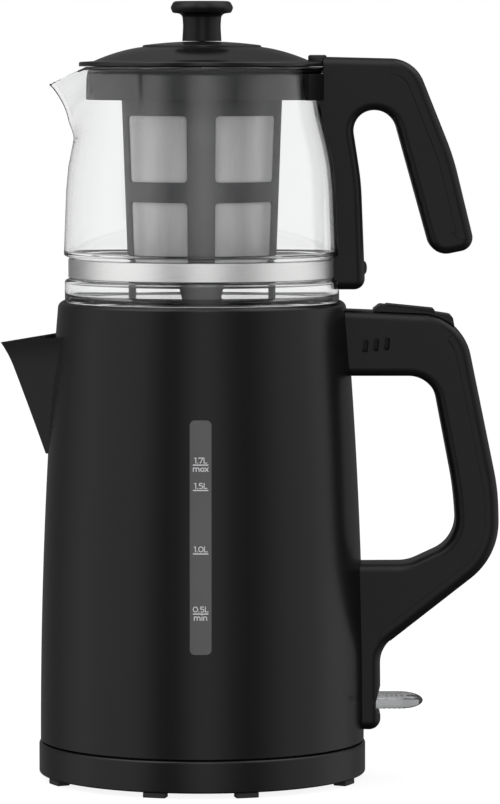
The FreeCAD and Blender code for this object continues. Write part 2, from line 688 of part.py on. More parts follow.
def make_base_socket():
    """The round socket in the middle of the base, with its slots for the connector."""
    floor = DECK_TOP + COLLAR_HEIGHT - SOCKET_FLOOR_DROP
    profile = [
        (0, DECK_UNDER - BASE_WALL),
        (COLLAR_RADIUS + SOCKET_FLANGE, DECK_UNDER - BASE_WALL),
        (COLLAR_RADIUS + SOCKET_FLANGE, DECK_UNDER),
        (COLLAR_RADIUS - FIT, DECK_UNDER),
        (COLLAR_RADIUS - FIT, floor),
        (HUB_RADIUS, floor),
        (HUB_RADIUS, HUB_TOP, HUB_ROUND),
        (0, HUB_TOP),
    ]
    socket = turned(profile)
    cutters = [cylinder(PIN_RADIUS + LIFT_GAP + CONTACT_WALL, HUB_SLOT_FLOOR, HUB_TOP + OVERRUN)]
    for radius in RING_RADII:
        cutters.append(tube(radius + RING_SLOT / 2, radius - RING_SLOT / 2, HUB_SLOT_FLOOR, HUB_TOP + OVERRUN))
    hole = cylinder(SCREW_RADIUS, 0, DECK_UNDER + OVERRUN, SOCKET_SCREW_CIRCLE)
    return without(socket, cutters + around(hole, 3, SOCKET_SCREW_ANGLE))


def socket_screw_tip():
    """Height of the tips of the socket's screws, inside the deck."""
    return DECK_TOP - BASE_WALL / 2


def make_socket_screws():
    """Three screws from below through the socket's flange into the deck."""
    one = screw(socket_screw_tip() - DECK_UNDER + BASE_WALL)
    one.translate(Vector(SOCKET_SCREW_CIRCLE, 0, DECK_UNDER - BASE_WALL))
    return Part.makeCompound(around(one, 3, SOCKET_SCREW_ANGLE))


def make_socket_contacts():
    """A middle sleeve and two rings of brass on the outer walls of the slots."""
    top = HUB_TOP - CONTACT_DROP
    sleeve = PIN_RADIUS + LIFT_GAP
    rings = [tube(sleeve + CONTACT_WALL, sleeve, HUB_SLOT_FLOOR, top)]
    for radius in RING_RADII:
        outer = radius + RING_SLOT / 2
        rings.append(tube(outer, outer - CONTACT_WALL, HUB_SLOT_FLOOR, top))
    return Part.makeCompound(rings)


def make_cord_gland():
    """The bush that lines the cord's way in at the back of the base."""
    end = BASE_RADIUS + GLAND_PROUD
    bush = cord_cylinder(CORD_BORE + GLAND_WALL, BASE_RADIUS - GLAND_DEPTH, end)
    collar = cord_cylinder(CORD_BORE + GLAND_WALL + GLAND_FLANGE, BASE_RADIUS, end)
    bore = cord_cylinder(CORD_BORE, BASE_RADIUS - GLAND_DEPTH - OVERRUN, end + OVERRUN)
    return joined([bush, collar]).cut(bore)


# ---- kettle body ------------------------------------------------------------
def body_radius(z):
    """Outer radius of the kettle at a height: a long arc that starts upright at the bottom."""
    return BODY_RADIUS - (z - BODY_BOTTOM) ** 2 / (2 * BODY_CURVE)


def body_solid(grow=0.0, bottom=BODY_BOTTOM, top=BODY_TOP):
    """The full round of the kettle between two heights, with its side moved outwards by grow."""
    middle = (bottom + top) / 2
    low = Vector(body_radius(bottom) + grow, 0, bottom)
    high = Vector(body_radius(top) + grow, 0, top)
    side = Part.Arc(low, Vector(body_radius(middle) + grow, 0, middle), high).toShape()
    roof = Part.makeLine(high, Vector(0, 0, top))
    axis = Part.makeLine(Vector(0, 0, top), Vector(0, 0, bottom))
    floor = Part.makeLine(Vector(0, 0, bottom), low)
    return Part.Face(Part.Wire([side, roof, axis, floor])).revolve(ORIGIN, UP, 360)


def rim_edge(shape, z):
    """The outermost circular edge at a height."""
    level = [edge for edge in shape.Edges if abs(edge.BoundBox.ZMin - z) < 1e-4
             and edge.BoundBox.ZLength < 1e-4]
    return max(level, key=lambda edge: edge.BoundBox.XLength)


def make_kettle_shell():
    """The tapered wall of the kettle, open at the bottom, with the mouth at the top."""
    outer = body_solid()
    outer = outer.makeFillet(SHOULDER_ROUND, [rim_edge(outer, BODY_TOP)])
    inside = body_solid(-BODY_WALL, BODY_BOTTOM - OVERRUN, BODY_TOP - RIM_DEPTH)
    mouth = cylinder(MOUTH_RADIUS, BODY_TOP - RIM_DEPTH - OVERRUN, BODY_TOP + OVERRUN)
    holes = [rod(SCREW_RADIUS, 0, LONG, z) for z in HANDLE_SCREW_HEIGHTS]
    cutters = [inside, mouth, gauge_prism(0.0), spout_solid(SPOUT_WALL)] + holes
    return without(outer, cutters)


def make_teapot_seat():
    """The ring in the kettle's mouth that carries the teapot, with steam vents in its ledge."""
    under = BODY_TOP - RIM_DEPTH
    rim_top = BODY_TOP - SEAT_RIM_DROP
    ledge_out = POT_FOOT_RADIUS + LIFT_GAP
    bottom = SEAT_HEIGHT - SEAT_SKIRT
    flange_out = body_radius(under) - BODY_WALL - FIT
    profile = [
        (MOUTH_RADIUS - FIT, rim_top),
        (MOUTH_RADIUS - FIT, under),
        (flange_out, under),
        (flange_out, SEAT_HEIGHT - SEAT_THICKNESS),
        (SEAT_INNER_RADIUS + SEAT_WALL, SEAT_HEIGHT - SEAT_THICKNESS),
        (SEAT_INNER_RADIUS + SEAT_WALL, bottom),
        (SEAT_INNER_RADIUS, bottom),
        (SEAT_INNER_RADIUS, SEAT_HEIGHT, SEAT_ROUND),
        (ledge_out, SEAT_HEIGHT),
        (ledge_out, rim_top),
    ]
    middle = (SEAT_INNER_RADIUS + POT_FOOT_RADIUS) / 2
    vent = cylinder(VENT_RADIUS, SEAT_HEIGHT - SEAT_THICKNESS - OVERRUN, SEAT_HEIGHT + OVERRUN, middle)
    return without(turned(profile), around(vent, VENT_COUNT, 180.0 / VENT_COUNT))


# ---- kettle underside and heating -------------------------------------------
def make_kettle_cover():
    """The bottom cover: stand ring, pocket over the socket and three screw posts."""
    outer = body_radius(COVER_FLOOR) - BODY_WALL - FIT
    roof = CONNECTOR_TOP - POCKET_RIM_DROP
    wall_top = COVER_FLOOR + COVER_WALL_HEIGHT
    stand_in = STAND_RING_RADIUS - STAND_RING_WIDTH
    profile = [
        (outer, COVER_FLOOR),
        (outer, wall_top),
        (outer - COVER_WALL, wall_top),
        (outer - COVER_WALL, COVER_FLOOR + COVER_THICKNESS),
        (POCKET_RADIUS + POCKET_WALL, COVER_FLOOR + COVER_THICKNESS),
        (POCKET_RADIUS + POCKET_WALL, roof),
        (CONNECTOR_RADIUS + LIFT_GAP, roof),
        (CONNECTOR_RADIUS + LIFT_GAP, CONNECTOR_FLOOR),
        (POCKET_RADIUS, CONNECTOR_FLOOR),
        (POCKET_RADIUS, COVER_FLOOR, POCKET_ROUND),
        (stand_in, COVER_FLOOR),
        (stand_in, DECK_TOP, STAND_RING_ROUND),
        (STAND_RING_RADIUS, DECK_TOP, STAND_RING_ROUND),
        (STAND_RING_RADIUS, COVER_FLOOR),
    ]
    post = cylinder(POST_RADIUS, COVER_FLOOR + COVER_THICKNESS / 2, SPREADER_UNDER, COVER_SCREW_CIRCLE)
    cover = joined([turned(profile)] + around(post, 3, COVER_SCREW_ANGLE))
    shank = cylinder(SCREW_RADIUS, 0, LONG, COVER_SCREW_CIRCLE)
    sink = cylinder(SCREW_HEAD_RADIUS + FIT, 0, COVER_FLOOR + SCREW_HEAD_HEIGHT, COVER_SCREW_CIRCLE)
    return without(cover, around(shank, 3, COVER_SCREW_ANGLE) + around(sink, 3, COVER_SCREW_ANGLE))


def spreader_hole_top():
    """Height of the blind ends of the screw holes in the heat spreader."""
    return PLATE_UNDER - SPREADER_THICKNESS * 0.4


def make_cover_screws():
    """Three long screws from the bottom cover into the heat spreader."""
    seat = COVER_FLOOR + SCREW_HEAD_HEIGHT
    one = screw(spreader_hole_top() - seat).translate(Vector(COVER_SCREW_CIRCLE, 0, seat))
    return Part.makeCompound(around(one, 3, COVER_SCREW_ANGLE))


def make_kettle_connector():
    """The plug under the kettle: a disc with a middle pin and two rings that point down."""
    disc = cylinder(CONNECTOR_RADIUS, CONNECTOR_FLOOR, CONNECTOR_TOP)
    pin = cylinder(PIN_RADIUS, PIN_TIP, CONNECTOR_TOP)
    rings = []
    for radius in RING_RADII:
        rings.append(tube(radius + RING_WALL / 2, radius - RING_WALL / 2, PIN_TIP, CONNECTOR_TOP - OVERRUN))
    return joined([disc, pin] + rings)


def make_control_unit():
    """The round control with its neck over the connector and three posts to the spreader."""
    unit = cylinder(CONTROL_RADIUS, CONTROL_BOTTOM, CONTROL_TOP)
    neck = cylinder(CONNECTOR_RADIUS, CONNECTOR_TOP, CONTROL_BOTTOM + OVERRUN)
    post = cylinder(POST_RADIUS, CONTROL_TOP - OVERRUN, SPREADER_UNDER, CONTROL_POST_CIRCLE)
    return joined([unit, neck] + around(post, 3, CONTROL_POST_ANGLE))


def make_heater_plate():
    """The steel floor of the water chamber."""
    radius = body_radius(PLATE_UNDER) - BODY_WALL - FIT - SEAL_WIDTH
    return cylinder(radius, PLATE_UNDER, CHAMBER_FLOOR)


def make_heat_spreader():
    """The aluminium disc between the steel floor and the heating element."""
    disc = cylinder(SPREADER_RADIUS, SPREADER_UNDER, PLATE_UNDER)
    hole = cylinder(SCREW_RADIUS, 0, spreader_hole_top(), COVER_SCREW_CIRCLE)
    return without(disc, around(hole, 3, COVER_SCREW_ANGLE))


def make_heater_seal():
    """The silicone ring between the steel floor and the kettle's wall."""
    outer = body_radius(PLATE_UNDER) - BODY_WALL - FIT
    bottom = SPREADER_UNDER
    profile = [
        (outer, bottom),
        (outer, bottom + SEAL_HEIGHT),
        (outer - SEAL_WIDTH, bottom + SEAL_HEIGHT),
        (outer - SEAL_WIDTH, PLATE_UNDER),
        (outer - 2 * SEAL_WIDTH, PLATE_UNDER),
        (outer - 2 * SEAL_WIDTH, bottom),
    ]
    return turned(profile)


def make_heating_element():
    """The ring-shaped tubular heater with two cold pins that point down."""
    section = Part.makeCircle(ELEMENT_RADIUS, Vector(ELEMENT_RING, 0, ELEMENT_Z), Vector(0, 1, 0))
    ring = Part.Face(Part.Wire([section])).revolve(ORIGIN, UP, ELEMENT_SWEEP)
    pins = []
    for angle in (COLD_PIN_ANGLE, ELEMENT_SWEEP - COLD_PIN_ANGLE):
        cold = cylinder(COLD_PIN_RADIUS, ELEMENT_Z - COLD_PIN_LENGTH, ELEMENT_Z, ELEMENT_RING)
        pins.append(cold.rotate(ORIGIN, UP, angle))
    turn = (360 - ELEMENT_SWEEP) / 2
    return joined([ring] + pins).rotate(ORIGIN, UP, turn)


# ---- water gauge ------------------------------------------------------------
def gauge_prism(grow):
    """The outline of the gauge, grown on every side, through the front of the kettle."""
    half = GAUGE_WIDTH / 2 + grow
    bottom = GAUGE_BOTTOM - grow
    top = GAUGE_TOP + grow
    rounding = max(GAUGE_ROUND + grow, LEAST_ROUND)
    points = [(-half, bottom, rounding), (half, bottom, rounding), (half, top, rounding), (-half, top, rounding)]
    face = upright_face(points).translate(Vector(0, -BODY_RADIUS - OVERRUN, 0))
    return face.extrude(Vector(0, BODY_RADIUS / 2, 0))


def wall_layer(outer, inner):
    """The layer of the kettle's side between two depths under its surface."""
    low = GAUGE_BOTTOM - 3 * GAUGE_BORDER
    high = GAUGE_TOP + 3 * GAUGE_BORDER
    return body_solid(-outer, low, high).cut(body_solid(-inner, low - OVERRUN, high + OVERRUN))


def make_gauge_window():
    """The clear strip, flush with the surface of the kettle."""
    return wall_layer(0.0, GAUGE_PANE).common(gauge_prism(-FIT))


def make_gauge_seal():
    """The gasket behind the wall, round the window."""
    layer = wall_layer(BODY_WALL + FIT / 2, GAUGE_PANE + GAUGE_SEAL)
    return layer.common(gauge_prism(GAUGE_BORDER)).cut(gauge_prism(0.0))


def make_gauge_case():
    """The trough behind the window that holds the shown water, open at two ports."""
    start = GAUGE_PANE + GAUGE_SEAL
    whole = wall_layer(start, GAUGE_DEPTH).common(gauge_prism(GAUGE_BORDER))
    hollow = wall_layer(start - OVERRUN, GAUGE_DEPTH - GAUGE_CASE_WALL).common(gauge_prism(GAUGE_BORDER - GAUGE_CASE_WALL))
    ports = []
    for z in (GAUGE_BOTTOM + 2 * GAUGE_PORT, GAUGE_TOP - 2 * GAUGE_PORT):
        port = Part.makeCylinder(GAUGE_PORT, BODY_RADIUS, Vector(0, -BODY_RADIUS, z), Vector(0, 1, 0))
        ports.append(port)
    return without(whole, [hollow] + ports)


# ---- spouts -----------------------------------------------------------------
def wedge_wire(nose_x, root_x, half_angle, nose_round, z):
    """A level triangle with a round nose that points to -X."""
    slope = math.tan(math.radians(half_angle))
    vertex = nose_x - nose_round * (1 / math.sin(math.radians(half_angle)) - 1)
    half = (root_x - vertex) * slope
    points = [(root_x, -half), (root_x, half), (vertex, 0, nose_round)]
    wire = Part.Wire(rounded_edges(points))
    return wire.translate(Vector(0, 0, z))


def spout_nose(z):
    """X of the spout's front edge at a height."""
    lean = SPOUT_TIP_X + (SPOUT_TIP_Z - z) * SPOUT_FLARE
    near_tip = max(0.0, z - SPOUT_TIP_Z + SPOUT_LIP_HEIGHT) / SPOUT_LIP_HEIGHT
    return lean + SPOUT_LIP * (1 - near_tip ** 2)


def spout_solid(inset):
    """The V of the spout with its walls moved inwards, up to above its rim."""
    shift = inset / math.sin(math.radians(SPOUT_HALF_ANGLE))
    lip = SPOUT_TIP_Z - SPOUT_LIP_HEIGHT
    top = SPOUT_TIP_Z + SPOUT_TRIM
    heights = [SPOUT_ROOT_Z, (SPOUT_ROOT_Z + SPOUT_TIP_Z) / 2, lip, (lip + SPOUT_TIP_Z) / 2, SPOUT_TIP_Z, top]
    root_x = -body_radius(SPOUT_TIP_Z) + SPOUT_OVERLAP
    nose_round = max(SPOUT_NOSE - inset, LEAST_ROUND)
    wires = []
    for z in heights:
        wires.append(wedge_wire(spout_nose(z) + shift, root_x, SPOUT_HALF_ANGLE, nose_round, z))
    wedge = Part.makeLoft(wires, True, False)
    above = slab([
        (SPOUT_TIP_X * 2, SPOUT_TIP_Z + SPOUT_TIP_X * SPOUT_RIM_SLOPE),
        (0, SPOUT_TIP_Z - SPOUT_TIP_X * SPOUT_RIM_SLOPE),
        (0, LONG),
        (SPOUT_TIP_X * 2, LONG),
    ], BODY_RADIUS)
    return wedge.cut(above)


def make_kettle_spout():
    """The V-shaped spout, a thin shell that is open at the top and towards the kettle."""
    return spout_solid(0.0).cut(spout_open()).cut(body_solid(FIT / 2))


def spout_open():
    """The room inside the spout, run on through its open top."""
    inner = spout_solid(SPOUT_WALL)
    lifted = inner.copy().translate(Vector(0, 0, SPOUT_WALL / 2))
    return inner.fuse(lifted)


# ---- kettle handle ----------------------------------------------------------
def upper(point):
    """A point of the kettle's handle that is measured from the kettle's top."""
    return (BODY_RADIUS + point[0], BODY_TOP + point[1]) + point[2:]


def lower(point):
    """A point of the kettle's handle that is measured from the kettle's lower edge."""
    return (BODY_RADIUS + point[0], BODY_BOTTOM + point[1]) + point[2:]


def handle_back():
    """The outer edge of the handle, from its top to its ankle."""
    return [
        (HANDLE_ROOT_X, HANDLE_TOP),
        upper(HANDLE_CORNER),
        lower(HANDLE_BACK),
        lower(HANDLE_HEEL),
        lower(HANDLE_ANKLE),
    ]


def handle_outline():
    """The handle from the side: outer edge down to the foot, then back up round the grip."""
    return handle_back() + [
        lower(HANDLE_FOOT),
        (HANDLE_ROOT_X, HANDLE_FOOT_Z),
        (HANDLE_ROOT_X, BODY_BOTTOM + GRIP_ROOT_RISE),
        lower(GRIP_LOWER_BEND),
        lower(GRIP_LOWER_CORNER),
        lower(GRIP_BACK),
        upper(GRIP_UPPER_CORNER),
        (HANDLE_ROOT_X, upper(GRIP_UPPER_CORNER)[1]),
    ]


def full_handle():
    """The whole handle with rounded edges, before it is divided."""
    whole = slab(handle_outline(), HANDLE_HALF_WIDTH)
    return whole.makeFillet(HANDLE_ROUND, long_edges(whole, HANDLE_HALF_WIDTH, HANDLE_ROOT_X))


def handle_band(near, far, half_width):
    """The band of the handle between two depths under its outer edge."""
    ankle_x = lower(HANDLE_ANKLE)[0]
    wire = Part.Wire(rounded_edges(handle_back() + [(ankle_x, HANDLE_FOOT_Z), (HANDLE_ROOT_X, HANDLE_FOOT_Z)]))
    layers = []
    for depth in (near, far):
        outline = wire.makeOffset2D(-depth) if depth else wire
        face = Part.Face(outline).rotate(ORIGIN, Vector(1, 0, 0), 90)
        layers.append(face.translate(Vector(0, -half_width, 0)).extrude(Vector(0, 2 * half_width, 0)))
    return layers[0].cut(layers[1])


def spine_region(shrink=0.0):
    """The part of the side view where the handle has a spine cover."""
    start_x, start_z = upper(SPINE_START)
    start_x += shrink
    end_z = BODY_BOTTOM + SPINE_END_RISE + shrink
    return slab([
        (start_x, start_z),
        (start_x + SPINE_SLANT[0], start_z + SPINE_SLANT[1]),
        (LONG, start_z + SPINE_SLANT[1]),
        (LONG, end_z),
        (start_x - SPINE_END_IN, end_z),
    ], HANDLE_HALF_WIDTH + OVERRUN)


def vent_slots():
    """Three leaning blind slots in each side of the handle's root."""
    inner = HANDLE_HALF_WIDTH - SLOT_DEPTH
    core = box((-LONG, LONG), (-inner, inner), (-LONG, LONG))
    half_width = SLOT_WIDTH / 2
    half_height = SLOT_HEIGHT / 2
    slots = []
    for index in range(SLOT_COUNT):
        points = []
        for side, rise in ((-1, -1), (1, -1), (1, 1), (-1, 1)):
            points.append((side * half_width, rise * half_height, half_width * 0.8))
        slot = slab(points, HANDLE_HALF_WIDTH + OVERRUN).cut(core).rotate(ORIGIN, Vector(0, 1, 0), SLOT_LEAN)
        x, z = upper((SLOT_FIRST_OUT + index * SLOT_PITCH, index * SLOT_STEP - SLOT_DROP))
        slots.append(slot.translate(Vector(x, 0, z)))
    return slots


def lever_notch():
    """The room for the switch lever and for the steam sensor above it."""
    half = LEVER_HALF_WIDTH + NOTCH_SIDE_GAP
    start_x = body_radius(LEVER_AXIS_Z)
    notch = box((start_x - OVERRUN, LEVER_END_X), (-half, half), (NOTCH_BOTTOM, NOTCH_TOP))
    near_x = start_x + SENSOR_GAP - FIT
    half = SENSOR_HALF_WIDTH + FIT
    sensor = box((near_x, near_x + SENSOR_DEPTH + 2 * FIT), (-half, half), (NOTCH_TOP - OVERRUN, SENSOR_TOP))
    return notch.fuse(sensor)


def lever_recess():
    """The hollow in the handle's outer edge that the lever comes out of."""
    edge = lower(HANDLE_FOOT)[0]
    near = edge - RECESS_DEPTH
    top = NOTCH_TOP + RECESS_RISE
    bottom = NOTCH_BOTTOM - 2 * RECESS_LOBE
    return slab([
        (LONG, top),
        (edge, top),
        (near, top - RECESS_SLOPE, RECESS_ROUND),
        (near, NOTCH_BOTTOM),
        (edge, NOTCH_BOTTOM, RECESS_LOBE),
        (edge + FIT, bottom),
        (LONG, bottom),
    ], HANDLE_HALF_WIDTH + OVERRUN)


def button_well():
    """The hole in the top of the handle that the thumb button sinks into."""
    gap = LIFT_GAP
    return box(
        (BUTTON_START_X - gap, BUTTON_END_X + gap),
        (-BUTTON_HALF_WIDTH - gap, BUTTON_HALF_WIDTH + gap),
        (BUTTON_WELL_FLOOR, LONG),
    )


def make_kettle_handle():
    """The handle body, with slots, duct, lever notch, button well and screw holes."""
    depth = SPINE_DEPTH
    duct = handle_band(depth - OVERRUN, depth + DUCT_DEPTH, DUCT_HALF_WIDTH).common(spine_region())
    spine_room = handle_band(0.0, depth, HANDLE_HALF_WIDTH + OVERRUN).common(spine_region())
    pin = lever_cylinder(LEVER_PIN_RADIUS, LONG)
    holes = [rod(SCREW_RADIUS, 0, screw_start(z) + HANDLE_SCREW_LENGTH, z) for z in HANDLE_SCREW_HEIGHTS]
    cutters = [body_solid(FIT), duct, spine_room, lever_notch(), lever_recess(), button_well(), pin]
    cutters += vent_slots() + holes
    return without(full_handle(), cutters)


def make_handle_spine():
    """The cover over the back of the handle, set in by a thin seam."""
    band = handle_band(0.0, SPINE_DEPTH - SEAM, HANDLE_HALF_WIDTH + OVERRUN)
    return full_handle().common(band.common(spine_region(SEAM)))


def make_steam_duct():
    """The flat tube that leads steam down under the spine cover."""
    depth = SPINE_DEPTH + FIT
    outer = handle_band(depth, depth + DUCT_DEPTH - 2 * FIT, DUCT_HALF_WIDTH - FIT)
    inner = handle_band(depth + DUCT_WALL, depth + DUCT_DEPTH - 2 * FIT - DUCT_WALL,
                        DUCT_HALF_WIDTH - FIT - DUCT_WALL)
    return outer.cut(inner).common(spine_region(DUCT_WALL))


def screw_start(z):
    """X of the inner face of the kettle's wall at a height."""
    return body_radius(z) - BODY_WALL


def make_handle_screws():
    """Two screws from inside the kettle into the handle."""
    screws = []
    for z in HANDLE_SCREW_HEIGHTS:
        one = screw(HANDLE_SCREW_LENGTH).rotate(ORIGIN, Vector(0, 1, 0), 90)
        screws.append(one.translate(Vector(screw_start(z) - LIFT_GAP, 0, z)))
    return Part.makeCompound(screws)


def make_steam_sensor():
    """The bimetal switch in the foot of the handle."""
    start_x = body_radius(LEVER_AXIS_Z) + SENSOR_GAP
    half = SENSOR_HALF_WIDTH
    return box((start_x, start_x + SENSOR_DEPTH), (-half, half), (SENSOR_BOTTOM, SENSOR_TOP))


def make_indicator_lamp():
    """The small lamp above the clear lever, held under the steam sensor."""
    x = body_radius(LEVER_AXIS_Z) + SENSOR_GAP + SENSOR_DEPTH / 2
    lamp = cylinder(LAMP_RADIUS, NOTCH_TOP + LAMP_RADIUS, SENSOR_BOTTOM, x)
    return lamp.fuse(Part.makeSphere(LAMP_RADIUS, Vector(x, 0, NOTCH_TOP + LAMP_RADIUS))).removeSplitter()


# ---- thumb button -----------------------------------------------------------
def bezel_outline():
    """The raised panel on top of the handle, from the side."""
    return [
        (BEZEL_START_X, HANDLE_TOP - BEZEL_RISE),
        (BEZEL_START_X, HANDLE_TOP),
        (BEZEL_START_X + BEZEL_LEAN, BEZEL_TOP, BEZEL_RISE),
        upper(BEZEL_CORNER),
        upper(BEZEL_END),
        (upper(BEZEL_END)[0] - BEZEL_OUT, HANDLE_TOP - HANDLE_DROP - BUTTON_DEPTH),
    ]


def make_button_bezel():
    """The frame round the thumb button, laid over the handle."""
    panel = slab(bezel_outline(), BEZEL_HALF_WIDTH)
    handle = slab(handle_outline(), HANDLE_HALF_WIDTH)
    return without(panel, [handle, button_well()])


def button_top(x):
    """Height of the thumb button's top at an X."""
    return BEZEL_TOP + BUTTON_PROUD - (x - BUTTON_START_X) * BUTTON_SLOPE


def make_thumb_button():
    """The long button in the bezel, with a stem for its spring."""
    high = button_top(BUTTON_START_X)
    low = button_top(BUTTON_END_X)
    block = slab([
        (BUTTON_START_X, BUTTON_BOTTOM),
        (BUTTON_END_X, BUTTON_BOTTOM),
        (BUTTON_END_X, low, BUTTON_ROUND),
        (BUTTON_START_X, high, BUTTON_ROUND),
    ], BUTTON_HALF_WIDTH)
    middle = (BUTTON_START_X + BUTTON_END_X) / 2
    stem = cylinder(SPRING_RADIUS - 2 * SPRING_WIRE, BUTTON_BOTTOM - STEM_LENGTH, BUTTON_BOTTOM + OVERRUN, middle)
    return block.fuse(stem).removeSplitter()


def make_button_spring():
    """The coil spring between the well's floor and the button, as half turns that lean one way and the other."""
    middle = (BUTTON_START_X + BUTTON_END_X) / 2
    step = (SPRING_HEIGHT - 2 * SPRING_WIRE) / (2 * SPRING_TURNS)
    halves = []
    for index in range(2 * SPRING_TURNS):
        side = 1 if index % 2 == 0 else -1
        low = BUTTON_WELL_FLOOR + SPRING_WIRE + index * step
        start = Vector(middle + side * SPRING_RADIUS, 0, low)
        centre = Vector(middle, 0, low + step / 2)
        section = Part.Face(Part.Wire([Part.makeCircle(SPRING_WIRE, start, Vector(0, 1, 0))]))
        halves.append(section.revolve(centre, Vector(side * step / 2, 0, SPRING_RADIUS), 180))
    return joined(halves)


# ---- switch lever -----------------------------------------------------------
def lever_cylinder(radius, length):
    """A cylinder along the lever's axis, centred on the middle plane."""
    return Part.makeCylinder(radius, length, Vector(LEVER_AXIS_X, -length / 2, LEVER_AXIS_Z), Vector(0, 1, 0))


def lever_plan():
    """The lever from above: straight sides and a round end."""
    half = LEVER_HALF_WIDTH
    start = LEVER_AXIS_X - LEVER_THICKNESS
    nose = half * LEVER_PLAN_NOSE
    return [(start, -half), (LEVER_END_X, -half, nose), (LEVER_END_X, half, nose), (start, half)]


def make_switch_lever():
    """The clear rocker tongue with small ribs under its front."""
    radius = LEVER_THICKNESS / 2
    nose = radius * LEVER_NOSE
    low = LEVER_AXIS_Z - radius
    high = LEVER_AXIS_Z + radius
    start = LEVER_AXIS_X - radius
    side = slab([
        (start, low, nose),
        (LEVER_END_X, low, nose),
        (LEVER_END_X, high, nose),
        (start, high, nose),
    ], LEVER_HALF_WIDTH)
    tongue = side.common(prism(lever_plan(), low - OVERRUN, high + OVERRUN))
    cutters = [lever_cylinder(LEVER_PIN_RADIUS + LEVER_PIN_PLAY, LONG)]
    half = LEVER_HALF_WIDTH
    for index in range(LEVER_RIB_COUNT):
        x = LEVER_AXIS_X + LEVER_RIB_START + LEVER_RIB_PITCH * index
        cutters.append(box((x, x + LEVER_RIB_WIDTH), (-half, half), (low - OVERRUN, low + LEVER_RIB_DEPTH)))
    return without(tongue, cutters)


def make_lever_pin():
    """The steel pin that the lever turns on."""
    return lever_cylinder(LEVER_PIN_RADIUS, 2 * (HANDLE_HALF_WIDTH - NOTCH_SIDE_GAP))


# ---- teapot -----------------------------------------------------------------
def pot_side(grow):
    """The side of the pot from the bottom of its foot to the neck, moved outwards by grow."""
    shoulder = (POT_SHOULDER[0] + grow, POT_SHOULDER[1], POT_SHOULDER[2])
    neck = (POT_NECK_RADIUS + grow, POT_NECK_Z, POT_NECK_BEND)
    return [
        (POT_BAND_GROOVE + grow, POT_FOOT_TOP, POT_GROOVE_ROUND),
        (POT_BAND_GROOVE + grow, BAND_TOP, POT_GROOVE_ROUND),
        (POT_RADIUS + grow, BAND_TOP + POT_STEP[0], POT_STEP[1]),
        shoulder,
        neck,
        (POT_NECK_RADIUS + grow, POT_RIM_Z - POT_LIP_DROP, POT_LIP_BEND),
    ]


def pot_solid(grow=0.0):
    """The full round of the pot, with its side moved outwards by grow."""
    foot = POT_FOOT_RADIUS + grow
    drop, edge_round = POT_FOOT_SHOULDER
    points = [(0, 0), (foot, 0, POT_FOOT_ROUND), (foot, POT_FOOT_TOP - drop, edge_round)]
    points += pot_side(grow)
    points += [(POT_RIM_RADIUS + grow, POT_RIM_Z), (0, POT_RIM_Z)]
    return turned(points)


def pot_hollow():
    """The room inside the pot."""
    bend = POT_INSIDE_ROUND
    foot_drop, band_drop = POT_INSIDE_DROPS
    lip_drop, lip_round, lip_run = POT_INSIDE_LIP
    return turned([
        (0, POT_WALL),
        (POT_FOOT_RADIUS - POT_WALL, POT_WALL, POT_FLOOR_ROUND),
        (POT_FOOT_RADIUS - POT_WALL, POT_FOOT_TOP - foot_drop, bend),
        (POT_BAND_GROOVE - POT_WALL, POT_FOOT_TOP + band_drop, bend),
        (POT_BAND_GROOVE - POT_WALL, BAND_TOP - band_drop, bend),
        (POT_RADIUS - POT_WALL, BAND_TOP + POT_INSIDE_STEP, bend),
        (POT_SHOULDER[0] - POT_WALL, POT_SHOULDER[1], POT_SHOULDER[2]),
        (POT_NECK_RADIUS - POT_WALL, POT_NECK_Z, POT_NECK_BEND),
        (POT_NECK_RADIUS - POT_WALL, POT_RIM_Z - lip_drop, lip_round),
        (POT_RIM_RADIUS - POT_WALL, POT_RIM_Z + lip_run),
        (0, POT_RIM_Z + lip_run),
    ])


def beak_solid(inset):
    """The pouring beak of the pot with its walls moved inwards."""
    shift = inset / math.sin(math.radians(BEAK_HALF_ANGLE))
    root_x = -POT_NECK_RADIUS + BEAK_OVERLAP
    nose_round = max(BEAK_NOSE - inset, LEAST_ROUND)
    wires = []
    for z in (BEAK_ROOT_Z, (BEAK_ROOT_Z + BEAK_TIP_Z) / 2, POT_RIM_Z + POT_WALL):
        nose = BEAK_TIP_X + (BEAK_TIP_Z - z) * BEAK_LEAN + shift
        wires.append(wedge_wire(nose, root_x, BEAK_HALF_ANGLE, nose_round, z))
    return Part.makeLoft(wires, True, False)


def parted(shape, height):
    """A shape in two: what is below a height, and what is above it."""
    low = cylinder(LONG, -LONG, height)
    return shape.common(low), shape.cut(low)


def make_glass():
    """The glass pot in two: its foot with the groove for the band, and its wall with the beak."""
    rim_x = BEAK_TIP_X + (POT_RIM_Z - BEAK_TIP_Z) / BEAK_RIM_SLOPE
    above = slab([
        (BEAK_TIP_X * 2, BEAK_TIP_Z + BEAK_TIP_X * BEAK_RIM_SLOPE),
        (rim_x, POT_RIM_Z),
        (LONG, POT_RIM_Z),
        (LONG, LONG),
        (BEAK_TIP_X * 2, LONG),
    ], BODY_RADIUS)
    outer = pot_solid().fuse(beak_solid(0.0))
    inner = pot_hollow().fuse(beak_solid(POT_WALL))
    return parted(without(outer, [inner, above]).removeSplitter(), BAND_TOP + GLASS_SPLIT_RISE)


def make_steel_band():
    """The brushed steel band in the groove of the pot."""
    profile = [
        (BAND_RADIUS - BAND_THICKNESS, POT_FOOT_TOP + BAND_END_GAP),
        (BAND_RADIUS, POT_FOOT_TOP + BAND_END_GAP),
        (BAND_RADIUS, BAND_TOP - BAND_END_GAP),
        (BAND_RADIUS - BAND_THICKNESS, BAND_TOP - BAND_END_GAP),
    ]
    return turned(profile).cut(rod(SCREW_RADIUS, 0, LONG, CLAMP_HEIGHT))


def beside(point, level=0.0):
    """A point of the teapot's handle, measured from the pot's side and from a level."""
    return (POT_RADIUS + point[0], level + point[1]) + point[2:]


